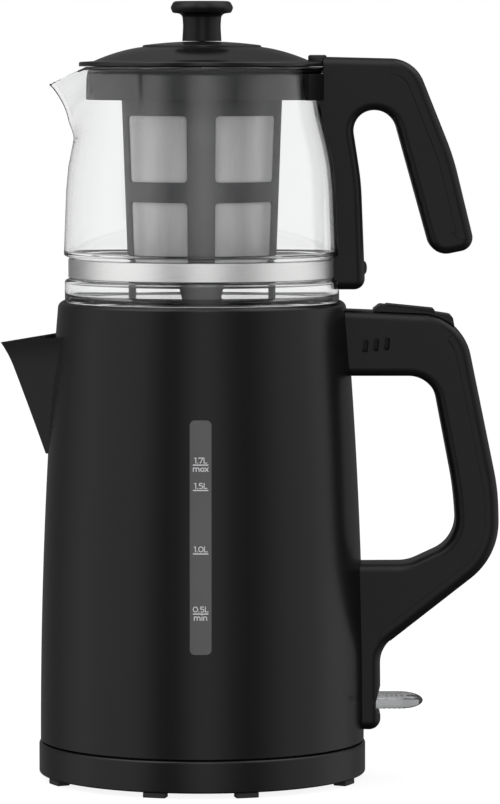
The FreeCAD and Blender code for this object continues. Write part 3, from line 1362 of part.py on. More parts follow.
def pot_handle_outline():
    """The teapot's handle from the side: top, back, open end, then the leg along the glass."""
    return [
        (POT_HANDLE_ROOT_X, POT_HANDLE_TOP),
        beside(POT_HANDLE_CORNER, POT_RIM_Z),
        beside(POT_HANDLE_BEND),
        beside(POT_HANDLE_END_OUT),
        beside(POT_HANDLE_END_IN),
        beside(POT_GAP_OUT, POT_RIM_Z),
        beside(POT_GAP_IN, POT_RIM_Z),
        beside(POT_LEG_BEND),
        beside(POT_LEG_FOOT),
        (POT_HANDLE_ROOT_X, POT_LEG_FOOT[1]),
    ]


def full_pot_handle():
    """The whole teapot handle with rounded edges, clear of the glass and the lid."""
    whole = slab(pot_handle_outline(), POT_HANDLE_HALF_WIDTH)
    edges = long_edges(whole, POT_HANDLE_HALF_WIDTH, POT_NECK_RADIUS)
    return whole.makeFillet(POT_HANDLE_ROUND, edges)


def pot_handle_clearance():
    """What the teapot's handle stays clear of: the glass, the band and the lid above."""
    band = cylinder(BAND_RADIUS + FIT, POT_FOOT_TOP, BAND_TOP)
    lid = cylinder(LID_RADIUS + LIFT_GAP, POT_RIM_Z, LONG)
    half = TAB_HALF_WIDTH + LIFT_GAP
    tab = box((0, TAB_END_X + LIFT_GAP), (-half, half), (POT_RIM_Z, LONG))
    return [pot_solid(FIT), band, lid, tab]


def pot_spine_region(shrink=0.0):
    """The part of the side view where the teapot's handle has a spine cover."""
    start_x, start_z = beside(POT_SPINE_START, POT_RIM_Z)
    start_x += shrink
    end_x = beside(POT_HANDLE_END_OUT)[0] - POT_SPINE_END_IN - shrink
    end_z = POT_HANDLE_END_OUT[1] + POT_SPINE_END_LIFT
    return slab([
        (start_x, start_z),
        (start_x + POT_SPINE_SLANT[0], start_z + POT_SPINE_SLANT[1]),
        (LONG, start_z + POT_SPINE_SLANT[1]),
        (LONG, end_z),
        (end_x, end_z + 2 * shrink),
        (end_x - POT_SPINE_END_SLANT[0], end_z + POT_SPINE_END_SLANT[1]),
    ], POT_HANDLE_HALF_WIDTH + OVERRUN)


def pot_spine_band(depth):
    """The outer band of the teapot's handle, down to a depth under its edge."""
    end = beside(POT_HANDLE_END_OUT)[:2]
    outline = pot_handle_outline()[:3] + [end, (POT_HANDLE_ROOT_X, end[1])]
    wire = Part.Wire(rounded_edges(outline))
    faces = [Part.Face(wire), Part.Face(wire.makeOffset2D(-depth))]
    half_width = POT_HANDLE_HALF_WIDTH + OVERRUN
    layers = []
    for face in faces:
        face = face.rotate(ORIGIN, Vector(1, 0, 0), 90).translate(Vector(0, -half_width, 0))
        layers.append(face.extrude(Vector(0, 2 * half_width, 0)))
    return layers[0].cut(layers[1])


def make_teapot_handle():
    """The teapot's handle body, with the room for its spine cover and the clamp screw."""
    room = pot_spine_band(POT_SPINE_DEPTH).common(pot_spine_region())
    shank = rod(SCREW_RADIUS, 0, LONG, CLAMP_HEIGHT)
    sink = rod(CLAMP_HEAD_RADIUS + FIT, CLAMP_HEAD_X, POT_LEG_FOOT_X + CLAMP_HEAD_IN, CLAMP_HEIGHT)
    saddle = saddle_ring(FIT)
    return without(full_pot_handle(), pot_handle_clearance() + [room, shank, sink, nut_room(), saddle])


def make_teapot_handle_spine():
    """The cover over the back of the teapot's handle."""
    band = pot_spine_band(POT_SPINE_DEPTH - SEAM).common(pot_spine_region(SEAM))
    return full_pot_handle().common(band)


def saddle_ring(grow):
    """The curved plate of the neck saddle, grown a little on its outside."""
    return sector(
        POT_NECK_RADIUS + FIT / 2,
        POT_NECK_RADIUS + SADDLE_WALL + grow,
        SADDLE_BOTTOM - grow,
        SADDLE_TOP + grow,
        0,
        SADDLE_ANGLE,
    )


def make_neck_saddle():
    """The curved plate between the handle and the neck of the pot."""
    return saddle_ring(0.0).cut(pot_solid(FIT / 2))


def nut_room():
    """The square room for the clamp's nut, behind the band."""
    start = BAND_RADIUS + FIT
    half = NUT_SIZE / 2 + FIT
    return box((start - OVERRUN, start + NUT_THICKNESS + FIT), (-half, half), (CLAMP_HEIGHT - half, CLAMP_HEIGHT + half))


def make_clamp_nut():
    """The square nut that draws the band to the handle."""
    start = BAND_RADIUS + FIT
    half = NUT_SIZE / 2
    nut = box((start, start + NUT_THICKNESS), (-half, half), (CLAMP_HEIGHT - half, CLAMP_HEIGHT + half))
    return nut.cut(rod(SCREW_RADIUS, 0, LONG, CLAMP_HEIGHT))


def make_clamp_screw():
    """The screw through the leg of the teapot's handle into the nut."""
    length = CLAMP_HEAD_X - BAND_RADIUS - FIT
    one = screw(length, head=CLAMP_HEAD_RADIUS).rotate(ORIGIN, Vector(0, 1, 0), -90)
    return one.translate(Vector(CLAMP_HEAD_X, 0, CLAMP_HEIGHT))


def make_clamp_cap():
    """The round plug over the head of the clamp screw."""
    end = POT_LEG_FOOT_X + CLAMP_CAP_PROUD
    cap = rod(CLAMP_HEAD_RADIUS, CLAMP_HEAD_X + SCREW_HEAD_HEIGHT, end, CLAMP_HEIGHT)
    rim = [edge for edge in cap.Edges if edge.BoundBox.XMin > end - 1e-3]
    return cap.makeFillet(CLAMP_CAP_PROUD * 0.8, rim[:1])


# ---- strainer ---------------------------------------------------------------
def basket_radius(z):
    """Outer radius of the basket at a height."""
    share = (z - BASKET_BOTTOM) / (SHELF_Z - BASKET_BOTTOM)
    return BASKET_BOTTOM_RADIUS + share * (BASKET_TOP_RADIUS - BASKET_BOTTOM_RADIUS)


def basket_layer(inset, depth, bottom, top):
    """A conical layer of the basket's wall between two heights."""
    high = basket_radius(top) - inset
    low = basket_radius(bottom) - inset
    return turned([(low - depth, bottom), (low, bottom), (high, top), (high - depth, top)])


def window_angles():
    """Middle and width of the four window columns, as angles from +X."""
    width = 90 - FRONT_RIB_ANGLE / 2 - SIDE_RIB_ANGLE / 2
    first = SIDE_RIB_ANGLE / 2 + width / 2
    return [(first, width), (180 - first, width), (180 + first, width), (360 - first, width)]


def basket_windows():
    """The openings in the wall of the basket."""
    windows = []
    for bottom, top in WINDOW_ROWS:
        for middle, width in window_angles():
            windows.append(sector(BASKET_BOTTOM_RADIUS / 2, BASKET_TOP_RADIUS * 2, bottom, top, middle, width))
    return windows


def pour_slots():
    """The upright slots in the collar that let tea through to the beak."""
    slots = []
    start = -(POUR_SLOT_COUNT - 1) / 2
    for index in range(POUR_SLOT_COUNT):
        y = (start + index) * POUR_SLOT_PITCH
        half = POUR_SLOT_WIDTH / 2
        slots.append(box((-LONG, 0), (y - half, y + half), (SHELF_Z + POUR_SLOT_END, POT_RIM_Z - POUR_SLOT_END)))
    return slots


def make_strainer():
    """The strainer's moulding in two: its basket with the legs, and its rim, collar and shelf."""
    inner = STRAINER_RADIUS - COLLAR_WALL
    shelf_top = SHELF_Z + SHELF_THICKNESS
    floor_in = basket_radius(BASKET_BOTTOM + BASKET_WALL) - BASKET_WALL
    profile = [
        (basket_radius(shelf_top) - BASKET_WALL, shelf_top),
        (floor_in, BASKET_BOTTOM + BASKET_WALL),
        (floor_in - BASKET_LEDGE, BASKET_BOTTOM + BASKET_WALL),
        (floor_in - BASKET_LEDGE, BASKET_BOTTOM),
        (BASKET_BOTTOM_RADIUS, BASKET_BOTTOM),
        (BASKET_TOP_RADIUS, SHELF_Z),
        (STRAINER_RADIUS, SHELF_Z),
        (STRAINER_RADIUS, POT_RIM_Z),
        (STRAINER_RIM_RADIUS, POT_RIM_Z),
        (STRAINER_RIM_RADIUS, STRAINER_TOP, STRAINER_RIM_ROUND),
        (inner, STRAINER_TOP),
        (inner, shelf_top),
    ]
    frame = turned(profile)
    frame = without(frame, basket_windows() + pour_slots())
    return parted(joined([frame] + strainer_legs()), SHELF_Z)


def strainer_legs():
    """Four short legs under the basket that stand on the floor of the pot."""
    bottom = POT_WALL + LEG_GAP
    top = BASKET_BOTTOM + BASKET_WALL / 2
    outer = BASKET_BOTTOM_RADIUS
    leg = upright_face([
        (-LEG_WIDTH_BOTTOM / 2, bottom),
        (LEG_WIDTH_BOTTOM / 2, bottom),
        (LEG_WIDTH_TOP / 2, top),
        (-LEG_WIDTH_TOP / 2, top),
    ]).extrude(Vector(0, LEG_THICKNESS, 0))
    leg = leg.translate(Vector(0, -outer, 0)).common(cylinder(outer, 0, SHELF_Z))
    return around(leg, 4)


def make_strainer_mesh():
    """The steel mesh sleeve inside the basket's ribs."""
    bottom = LOWER_WINDOW_BOTTOM - MESH_OVERLAP
    top = UPPER_WINDOW_TOP + MESH_OVERLAP
    return basket_layer(BASKET_WALL + FIT / 2, MESH_THICKNESS, bottom, top)


def make_strainer_floor_mesh():
    """The round steel mesh in the bottom of the basket."""
    bottom = BASKET_BOTTOM + BASKET_WALL
    return cylinder(BASKET_BOTTOM_RADIUS - BASKET_WALL - FIT, bottom, bottom + MESH_THICKNESS)


# ---- lid --------------------------------------------------------------------
def make_lid_cover():
    """The domed lid with its brim, the stepped disc in its middle and the tab at the handle."""
    bow = Vector((DOME_RADIUS + DOME_EDGE[0]) / 2, 0, (BRIM_TOP + DOME_EDGE[1]) / 2 + DOME_BOW)
    top_bow = Vector(DISC_RADIUS * 0.55, 0, DISC_EDGE_Z + DISC_RISE * 0.78)
    spots = [
        Vector(LID_RADIUS, 0, BRIM_BOTTOM),
        Vector(LID_RADIUS, 0, BRIM_TOP - BRIM_BEVEL[1]),
        Vector(LID_RADIUS - BRIM_BEVEL[0], 0, BRIM_TOP),
        Vector(DOME_RADIUS, 0, BRIM_TOP + DOME_FOOT),
    ]
    edges = [Part.makeLine(spots[index], spots[index + 1]) for index in range(3)]
    edge_low = Vector(DOME_EDGE[0], 0, DOME_EDGE[1])
    edge_high = Vector(DISC_RADIUS, 0, DISC_EDGE_Z)
    crown = Vector(0, 0, DOME_TOP)
    under = Vector(0, 0, DOME_TOP - LID_WALL)
    seat = Vector(DOME_RADIUS - DOME_SEAT_WIDTH, 0, BRIM_BOTTOM)
    under_bow = Vector(DISC_RADIUS, 0, DOME_EDGE[1] - LID_WALL + DOME_FOOT)
    edges.append(Part.Arc(spots[3], bow, edge_low).toShape())
    edges.append(Part.makeLine(edge_low, edge_high))
    edges.append(Part.Arc(edge_high, top_bow, crown).toShape())
    edges.append(Part.makeLine(crown, under))
    edges.append(Part.Arc(under, under_bow, seat).toShape())
    edges.append(Part.makeLine(seat, spots[0]))
    cover = Part.Face(Part.Wire(edges)).revolve(ORIGIN, UP, 360)
    tab = slab([
        (TAB_START_X, BRIM_BOTTOM),
        (TAB_END_X, BRIM_BOTTOM),
        (TAB_END_X, TAB_TOP, TAB_ROUND),
        (TAB_START_X, TAB_TOP, TAB_ROUND),
    ], TAB_HALF_WIDTH)
    hole = cylinder(SCREW_RADIUS, 0, LONG)
    return joined([cover, tab]).cut(hole)


def make_lid_skirt():
    """The ring under the lid that centres it in the strainer's collar."""
    outer = STRAINER_RADIUS - COLLAR_WALL - LIFT_GAP
    bottom = BRIM_BOTTOM - SKIRT_DEPTH
    return tube(outer, outer - SKIRT_WALL, bottom, BRIM_BOTTOM)


def make_lid_knob():
    """The mushroom-shaped knob."""
    profile = [
        (0, DOME_TOP + FIT),
        (STEM_RADIUS, DOME_TOP + FIT),
        (STEM_RADIUS, KNOB_UNDER_Z, STEM_TOP_ROUND),
        (KNOB_RADIUS - KNOB_EDGE[0], KNOB_UNDER_Z, KNOB_EDGE[1]),
        (KNOB_RADIUS, KNOB_WIDEST_Z, KNOB_SIDE_ROUND),
        (KNOB_FLAT + KNOB_SIDE_ROUND, KNOB_TOP, KNOB_TOP_ROUND),
        (0, KNOB_TOP),
    ]
    flare = Part.makeCone(STEM_RADIUS + STEM_FLARE, STEM_RADIUS, 2 * STEM_FLARE, Vector(0, 0, DOME_TOP + FIT))
    knob = turned(profile).fuse(flare)
    return knob.cut(cylinder(SCREW_RADIUS, 0, DOME_TOP + KNOB_BORE_DEPTH)).removeSplitter()


def make_knob_screw():
    """The screw from under the lid into the knob."""
    length = KNOB_BORE_DEPTH + LID_WALL - FIT
    return screw(length, head=KNOB_SCREW_HEAD).translate(Vector(0, 0, DOME_TOP - LID_WALL))


# ---- the pieces -------------------------------------------------------------
def make_all():
    """Every piece of the tea maker under its node name."""
    keep("base_housing", make_base_housing())
    keep("base_bottom_cover", make_base_cover())
    keep("base_screws", make_base_screws())
    keep("base_feet", make_base_feet())
    keep("base_socket", make_base_socket())
    keep("socket_screws", make_socket_screws())
    keep("socket_contacts", make_socket_contacts())
    keep("cord_gland", make_cord_gland())
    keep("kettle_connector", make_kettle_connector())
    keep("kettle_shell", make_kettle_shell())
    keep("teapot_seat", make_teapot_seat())
    keep("kettle_bottom_cover", make_kettle_cover())
    keep("bottom_cover_screws", make_cover_screws())
    keep("control_unit", make_control_unit())
    keep("heater_plate", make_heater_plate())
    keep("heat_spreader", make_heat_spreader())
    keep("heater_seal", make_heater_seal())
    keep("heating_element", make_heating_element())
    keep("gauge_window", make_gauge_window())
    keep("gauge_seal", make_gauge_seal())
    keep("gauge_case", make_gauge_case())
    keep("kettle_spout", make_kettle_spout())
    keep("kettle_handle", make_kettle_handle())
    keep("kettle_handle_spine", make_handle_spine())
    keep("steam_duct", make_steam_duct())
    keep("handle_screws", make_handle_screws())
    keep("steam_sensor", make_steam_sensor())
    keep("indicator_lamp", make_indicator_lamp())
    keep("button_bezel", make_button_bezel())
    keep("thumb_button", make_thumb_button())
    keep("button_spring", make_button_spring())
    keep("switch_lever", make_switch_lever())
    keep("lever_pin", make_lever_pin())
    foot, wall = make_glass()
    stack("teapot_glass_foot", foot)
    stack("teapot_glass", wall)
    stack("steel_band", make_steel_band())
    stack("teapot_handle", make_teapot_handle())
    stack("teapot_handle_spine", make_teapot_handle_spine())
    stack("neck_saddle", make_neck_saddle())
    stack("clamp_nut", make_clamp_nut())
    stack("clamp_screw", make_clamp_screw())
    stack("clamp_cap", make_clamp_cap())
    basket, frame = make_strainer()
    stack("strainer_basket", basket)
    stack("strainer_frame", frame)
    stack("strainer_mesh", make_strainer_mesh())
    stack("strainer_floor_mesh", make_strainer_floor_mesh())
    stack("lid_cover", make_lid_cover())
    stack("lid_skirt", make_lid_skirt())
    stack("lid_knob", make_lid_knob())
    stack("knob_screw", make_knob_screw())


make_all()
os.makedirs("parts", exist_ok=True)
for name, shape in pieces.items():
    shape.exportStep(os.path.join("parts", name + ".step"))
    print(name, len(shape.Solids), "solid(s)", round(shape.Volume), "mm3", shape.isValid())
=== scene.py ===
import itertools
import math

import bmesh
import bpy
from bpy.props import FloatProperty, FloatVectorProperty, IntProperty, PointerProperty
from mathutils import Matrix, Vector


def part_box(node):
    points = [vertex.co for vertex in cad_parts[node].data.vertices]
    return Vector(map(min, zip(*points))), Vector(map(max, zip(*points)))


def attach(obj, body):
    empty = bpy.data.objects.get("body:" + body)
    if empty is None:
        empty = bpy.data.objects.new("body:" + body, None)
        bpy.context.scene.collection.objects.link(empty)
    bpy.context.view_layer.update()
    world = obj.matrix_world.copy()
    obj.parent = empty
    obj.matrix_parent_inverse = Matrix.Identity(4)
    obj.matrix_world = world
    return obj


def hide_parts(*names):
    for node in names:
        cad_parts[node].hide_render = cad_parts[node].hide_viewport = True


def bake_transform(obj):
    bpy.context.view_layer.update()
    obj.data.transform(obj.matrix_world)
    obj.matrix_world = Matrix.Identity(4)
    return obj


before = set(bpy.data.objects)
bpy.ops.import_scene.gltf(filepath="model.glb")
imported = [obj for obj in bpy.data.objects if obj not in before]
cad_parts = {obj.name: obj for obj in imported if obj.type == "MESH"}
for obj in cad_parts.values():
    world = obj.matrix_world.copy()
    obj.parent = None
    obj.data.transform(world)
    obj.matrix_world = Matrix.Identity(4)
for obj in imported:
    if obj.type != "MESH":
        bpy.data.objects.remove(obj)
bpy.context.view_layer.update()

bl_info = {
    "name": "Tea maker",
    "version": (1, 0, 0),
    "blender": (4, 5, 0),
    "location": "View3D > Sidebar > Tea maker",
    "description": "Dresses the frame of a kettle and teapot with its finished pieces and materials",
    "category": "Object",
}

MM = 0.001
TAU = 2 * math.pi
ROUND_STEPS = 256          # faces round the large turned pieces
SMALL_ROUND_STEPS = 96     # and round the small ones
ARC_STEP = math.radians(7.5)

# Sizes in millimetres that the turned pieces share with the construction.
BODY_CURVE = 2436.02
BODY_WALL = 1.2
SHOULDER_ROUND = 3.5
MOUTH_RADIUS = 66.5
RIM_DEPTH = 2.8
LIP_DEPTH = 0.25
POT_WALL = 2.4
GAUGE_ROUND = 2.4
GAUGE_GAP = 0.12           # round the gauge's strip


# ---- places read from the frame ---------------------------------------------
def node_box(node):
    """Lowest and highest corner of a node, in millimetres."""
    return [[value / MM for value in corner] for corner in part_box(node)]


SHELL_LOW, SHELL_HIGH = node_box("kettle_shell")
BASE_LOW, BASE_HIGH = node_box("base_housing")
LID_LOW, LID_HIGH = node_box("lid_cover")
KNOB_LOW, KNOB_HIGH = node_box("lid_knob")
BAND_LOW, BAND_HIGH = node_box("steel_band")
PANE_LOW, PANE_HIGH = node_box("gauge_window")
MESH_LOW, MESH_HIGH = node_box("strainer_mesh")
GLASS_LEFT = node_box("teapot_glass")[0][0]
SPOUT_LEFT, SPOUT_FOOT = node_box("kettle_spout")[0][::2]
BODY_RADIUS = SHELL_HIGH[0]
BODY_BOTTOM = SHELL_LOW[2]
BODY_TOP = SHELL_HIGH[2]
BASE_RADIUS = BASE_HIGH[0]


# ---- settings ---------------------------------------------------------------
def colour_setting(name, description, default):
    """A colour that a user can change."""
    return FloatVectorProperty(name=name, description=description, default=default, subtype="COLOR",
                               size=3, min=0.0, max=1.0)


def amount_setting(name, description, default):
    """A share from nought to one that a user can change."""
    return FloatProperty(name=name, description=description, default=default, min=0.0, max=1.0,
                         subtype="FACTOR")


def length_setting(name, description, default):
    """A length in metres that a user can change."""
    return FloatProperty(name=name, description=description, default=default, unit="LENGTH")


class TeaMakerFinish(bpy.types.PropertyGroup):
    """Colours and gloss of the finishes."""
    enamel: colour_setting("Painted steel", "Black paint of the kettle's body", (0.005, 0.005, 0.0055))
    enamel_roughness: amount_setting("Paint roughness", "How matt the painted body is", 0.27)
    plastic: colour_setting("Black plastic", "Handles, lid and base", (0.0058, 0.0058, 0.0062))
    plastic_roughness: amount_setting("Plastic roughness", "How matt the handles are", 0.34)
    lid_roughness: amount_setting("Lid roughness", "How matt the lid and knob are", 0.2)
    strainer: colour_setting("Strainer grey", "Dark plastic of the strainer", (0.006, 0.006, 0.0064))
    glass: colour_setting("Glass", "Colour of the pot's glass", (0.944, 0.947, 0.947))
    steel: colour_setting("Steel", "Brushed and woven steel", (0.99, 0.99, 0.985))
    # The mesh colour also tones the opaque weave sleeve, where its paleness is partly painted see-through
    # light.
    mesh: colour_setting("Mesh", "Wires of the strainer", (0.93, 0.93, 0.925))
    gauge: colour_setting("Gauge", "Smoked strip of the water gauge", (0.085, 0.085, 0.088))
    print_grey: colour_setting("Gauge print", "Numbers and lines on the gauge", (0.62, 0.62, 0.63))
    lever: colour_setting("Lever", "Smoky plastic of the switch lever", (0.3, 0.305, 0.31))


class TeaMakerSizes(bpy.types.PropertyGroup):
    """Sizes of the details that are made here."""
    wire: length_setting("Wire radius", "Half the thickness of the mesh's wires", 0.0001)
    upright_wires: IntProperty(name="Upright wires", description="Wires round the mesh sleeve", default=300,
                               min=12)
    ring_wires: IntProperty(name="Ring wires", description="Wires up the mesh sleeve", default=120, min=4)
    print_height: length_setting("Figure height", "Height of the figures on the gauge", 0.0027)
    line_height: length_setting("Line height", "Height of the gauge's lines", 0.0005)


class TeaMakerStage(bpy.types.PropertyGroup):
    """The camera and the light."""
    distance: length_setting("Camera distance", "How far the camera stands in front", 2.337)
    height: length_setting("Camera height", "Height of the camera over the table", 0.34)
    aside: length_setting("Camera aside", "How far the camera stands to the right", 0.0228)
    pitch: FloatProperty(name="Camera pitch", description="How far the camera looks down",
                         default=math.radians(3.94), subtype="ANGLE")
    lens: FloatProperty(name="Lens", description="Focal length in millimetres", default=220.3, unit="CAMERA")
    daylight: amount_setting("Daylight", "Strength of the even light on the object", 0.62)
    lamp: FloatProperty(name="Lamp", description="Power of the large soft lamp", default=9.0, min=0.0,
                        unit="POWER")


# ---- mesh helpers -----------------------------------------------------------
def rounded(points, closed=True):
    """Points of an outline; a corner with a third value, its radius, becomes an arc."""
    done = []
    count = len(points)
    for index, point in enumerate(points):
        here = Vector(point[:2])
        on_end = not closed and index in (0, count - 1)
        if len(point) == 2 or on_end:
            done.append(tuple(here))
            continue
        back = (Vector(points[index - 1][:2]) - here).normalized()
        ahead = (Vector(points[(index + 1) % count][:2]) - here).normalized()
        half = back.angle(ahead) / 2
        reach = point[2] / math.tan(half)
        centre = here + (back + ahead).normalized() * (point[2] / math.sin(half))
        first = here + back * reach - centre
        turn = first.angle_signed(here + ahead * reach - centre)
        steps = max(2, math.ceil(abs(turn) / ARC_STEP))
        for step in range(steps + 1):
            angle = -turn * step / steps
            spin = Vector((first.x * math.cos(angle) - first.y * math.sin(angle),
                           first.x * math.sin(angle) + first.y * math.cos(angle)))
            done.append(tuple(centre + spin))
    return done


def arc(x, z, wide, high, start, end, steps=10):
    """Points on part of an oval, its angles in degrees."""
    angles = [math.radians(start + (end - start) * step / steps) for step in range(steps + 1)]
    return [(x + wide * math.cos(angle), z + high * math.sin(angle)) for angle in angles]


def between(start, end, steps):
    """Points on a straight line from start to end."""
    shares = [step / steps for step in range(steps + 1)]
    return [tuple(first + (last - first) * share for first, last in zip(start, end)) for share in shares]


def lathe(profile, steps=ROUND_STEPS, bend=None):
    """Vertices in metres and faces of a closed (radius, z) profile turned about Z, counterclockwise.

    bend gives a point's own radius and height, from its number, radius, angle and height.
    """
    verts, rings, faces = [], [], []
    for index, (radius, z) in enumerate(profile):
        if radius < 1e-6:
            rings.append([len(verts)] * steps)
            verts.append((0.0, 0.0, z * MM))
            continue
        rings.append(list(range(len(verts), len(verts) + steps)))
        for step in range(steps):
            angle = TAU * step / steps
            reach, rise = bend(index, radius, angle, z) if bend else (radius, z)
            verts.append((reach * MM * math.cos(angle), reach * MM * math.sin(angle), rise * MM))
    for ring, following in zip(rings, rings[1:] + rings[:1]):
        for step in range(steps):
            after = (step + 1) % steps
            corners = list(dict.fromkeys([ring[step], ring[after], following[after], following[step]]))
            if len(corners) > 2:
                faces.append(corners)
    return verts, faces


def turned(name, profile, sharp=35.0, **options):
    """A piece turned about Z from a profile."""
    verts, faces = lathe(profile, **options)
    return new_object(name, verts, faces, sharp)


def grid_faces(rows, width, closed=True):
    """Faces between the rows of a grid of points, joined round where it is closed."""
    faces = []
    for first in range(0, (rows - 1) * width, width):
        for step in range(width if closed else width - 1):
            here, after = first + step, first + (step + 1) % width
            faces.append([here, after, after + width, here + width])
    return faces


def new_object(name, verts, faces, sharp=35.0):
    """A smooth-shaded object with edges kept sharp past an angle."""
    mesh = bpy.data.meshes.new(name)
    mesh.from_pydata(verts, [], faces)
    mesh.validate()
    piece = bpy.data.objects.new(name, mesh)
    bpy.context.scene.collection.objects.link(piece)
    shade(piece, sharp)
    return piece


def shade(piece, sharp):
    """Smooth shading with sharp edges past an angle in degrees."""
    piece.data.polygons.foreach_set("use_smooth", [True] * len(piece.data.polygons))
    piece.data.set_sharp_from_angle(angle=math.radians(sharp))


def place(piece, material, body, slot, *nodes):
    """Give a piece its material and body, and hide the nodes that it stands for. The slot is not used."""
    piece.data.materials.clear()
    piece.data.materials.append(material)
    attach(piece, body)
    if nodes:
        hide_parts(*nodes)


def merged_copy(node, name, sharp=32.0):
    """A joined-up copy of a CAD node's mesh, smooth where its faces bend gently."""
    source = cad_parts[node].data
    joined = bmesh.new()
    joined.from_mesh(source)
    bmesh.ops.remove_doubles(joined, verts=joined.verts, dist=2e-6)
    bmesh.ops.dissolve_degenerate(joined, edges=joined.edges, dist=1e-6)
    joined.verts.index_update()
    verts = [tuple(vert.co) for vert in joined.verts]
    faces = [[vert.index for vert in face.verts] for face in joined.faces]
    joined.free()
    piece = new_object(name, verts, faces, sharp)
    weigh = piece.modifiers.new("even_normals", "WEIGHTED_NORMAL")
    weigh.keep_sharp = True
    weigh.weight = 80
    return piece


def settled(piece):
    """Turn a piece with its modifiers into a plain mesh."""
    bpy.context.view_layer.update()
    graph = bpy.context.evaluated_depsgraph_get()
    mesh = bpy.data.meshes.new_from_object(piece.evaluated_get(graph))
    piece.modifiers.clear()
    old = piece.data
    piece.data = mesh
    mesh.name = piece.name
    if old.users == 0 and isinstance(old, bpy.types.Mesh):
        bpy.data.meshes.remove(old)
    return piece


def cut_away(piece, cutters):
    """Subtract closed objects from a piece and delete them."""
    for cutter in cutters:
        cut = piece.modifiers.new("cut", "BOOLEAN")
        cut.operation = "DIFFERENCE"
        cut.solver = "EXACT"
        cut.object = cutter
    settled(piece)
    for cutter in cutters:
        bpy.data.objects.remove(cutter)


def soften(piece, width, limit=50.0):
    """Round the edges that bend more than a limit in degrees, by a width in millimetres."""
    edge = piece.modifiers.new("soft_edges", "BEVEL")
    edge.width = width * MM
    edge.segments = 3
    edge.limit_method = "ANGLE"
    edge.angle_limit = math.radians(limit)
    return edge


def block(points, half_width, name="cutter"):
    """A closed block from an outline of (x, z) points, thick on both sides of Y 0."""
    count = len(points)
    verts = [(x * MM, -half_width * MM, z * MM) for x, z in points]
    verts += [(x * MM, half_width * MM, z * MM) for x, z in points]
    faces = [list(range(count)), list(range(2 * count - 1, count - 1, -1))]
    for index in range(count):
        after = (index + 1) % count
        faces.append([index, count + index, count + after, after])
    piece = new_object(name, verts, faces)
    turn_outwards(piece)
    return piece


def turn_outwards(piece):
    """Point the faces of a closed mesh outwards."""
    shape = bmesh.new()
    shape.from_mesh(piece.data)
    bmesh.ops.recalc_face_normals(shape, faces=shape.faces)
    shape.to_mesh(piece.data)
    shape.free()


def turned_normals(piece, slope_at, least=0.9):
    """Set the shading of a turned piece's faces to the exact slope of its side."""
    mesh = piece.data
    exact = []
    for face in mesh.polygons:
        for index in face.loop_indices:
            spot = mesh.vertices[mesh.loops[index].vertex_index].co
            reach = math.hypot(spot.x, spot.y)
            side = slope_at(reach / MM, spot.z / MM)
            if side is None or reach < 1e-6:
                exact.append(face.normal.copy())
                continue
            normal = Vector((side[0] * spot.x / reach, side[0] * spot.y / reach, side[1])).normalized()
            exact.append(normal if normal.dot(face.normal) > least else face.normal.copy())
    mesh.normals_split_custom_set(exact)


# ---- shader helpers ---------------------------------------------------------
FLOAT = "NodeSocketFloat"
COLOUR = "NodeSocketColor"
VECTOR = "NodeSocketVector"
WHITE = (1, 1, 1, 1)
DUST_GREY = (0.09, 0.09, 0.088, 1)


class Shader:
    """A node tree with short calls for nodes and links."""

    def __init__(self, tree):
        self.tree = tree

    def feed(self, target, value):
        """Join an input to an output, or set it to a plain value."""
        if isinstance(value, bpy.types.NodeSocket):
            self.tree.links.new(value, target)
        else:
            target.default_value = value

    def fill(self, made, **values):
        """Set a node's properties, or its inputs where a name starts with a capital."""
        for key, value in values.items():
            if key[0].isupper():
                self.feed(made.inputs[key.replace("_", " ")], value)
            else:
                setattr(made, key, value)
        return made

    def node(self, kind, **values):
        """A new node with its properties and inputs."""
        return self.fill(self.tree.nodes.new(kind), **values)

    def math(self, operation, first, second=0.5):
        """The result of a Math node; its inputs are sockets or numbers."""
        made = self.node("ShaderNodeMath", operation=operation)
        self.feed(made.inputs[0], first)
        self.feed(made.inputs[1], second)
        return made.outputs[0]

    def mix(self, factor, first, second):
        """Two shader nodes mixed by a factor."""
        made = self.node("ShaderNodeMixShader")
        for target, value in zip(made.inputs, (factor, first.outputs[0], second.outputs[0])):
            self.feed(target, value)
        return made

    def varied(self, colour, low, high, factor):
        """A colour that goes from one share of itself to another."""
        made = self.node("ShaderNodeMix", data_type="RGBA", Factor=factor, A=solid(colour, low),
                         B=solid(colour, high))
        return made.outputs["Result"]


def solid(colour, share=1.0):
    """A colour, or a share of it, as four values."""
    return tuple(min(1.0, part * share) for part in colour) + (1.0,)


def group_tree(name, inputs):
    """A node group that gives a colour, a roughness and a height; also what it is given and its result node."""
    tree = bpy.data.node_groups.new(name, "ShaderNodeTree")
    for socket, kind, default in inputs:
        made = tree.interface.new_socket(name=socket, in_out="INPUT", socket_type=kind)
        if default is not None:
            made.default_value = default
    for socket, kind in (("Colour", COLOUR), ("Roughness", FLOAT), ("Height", FLOAT)):
        tree.interface.new_socket(name=socket, in_out="OUTPUT", socket_type=kind)
    return Shader(tree), tree.nodes.new("NodeGroupInput").outputs, tree.nodes.new("NodeGroupOutput")


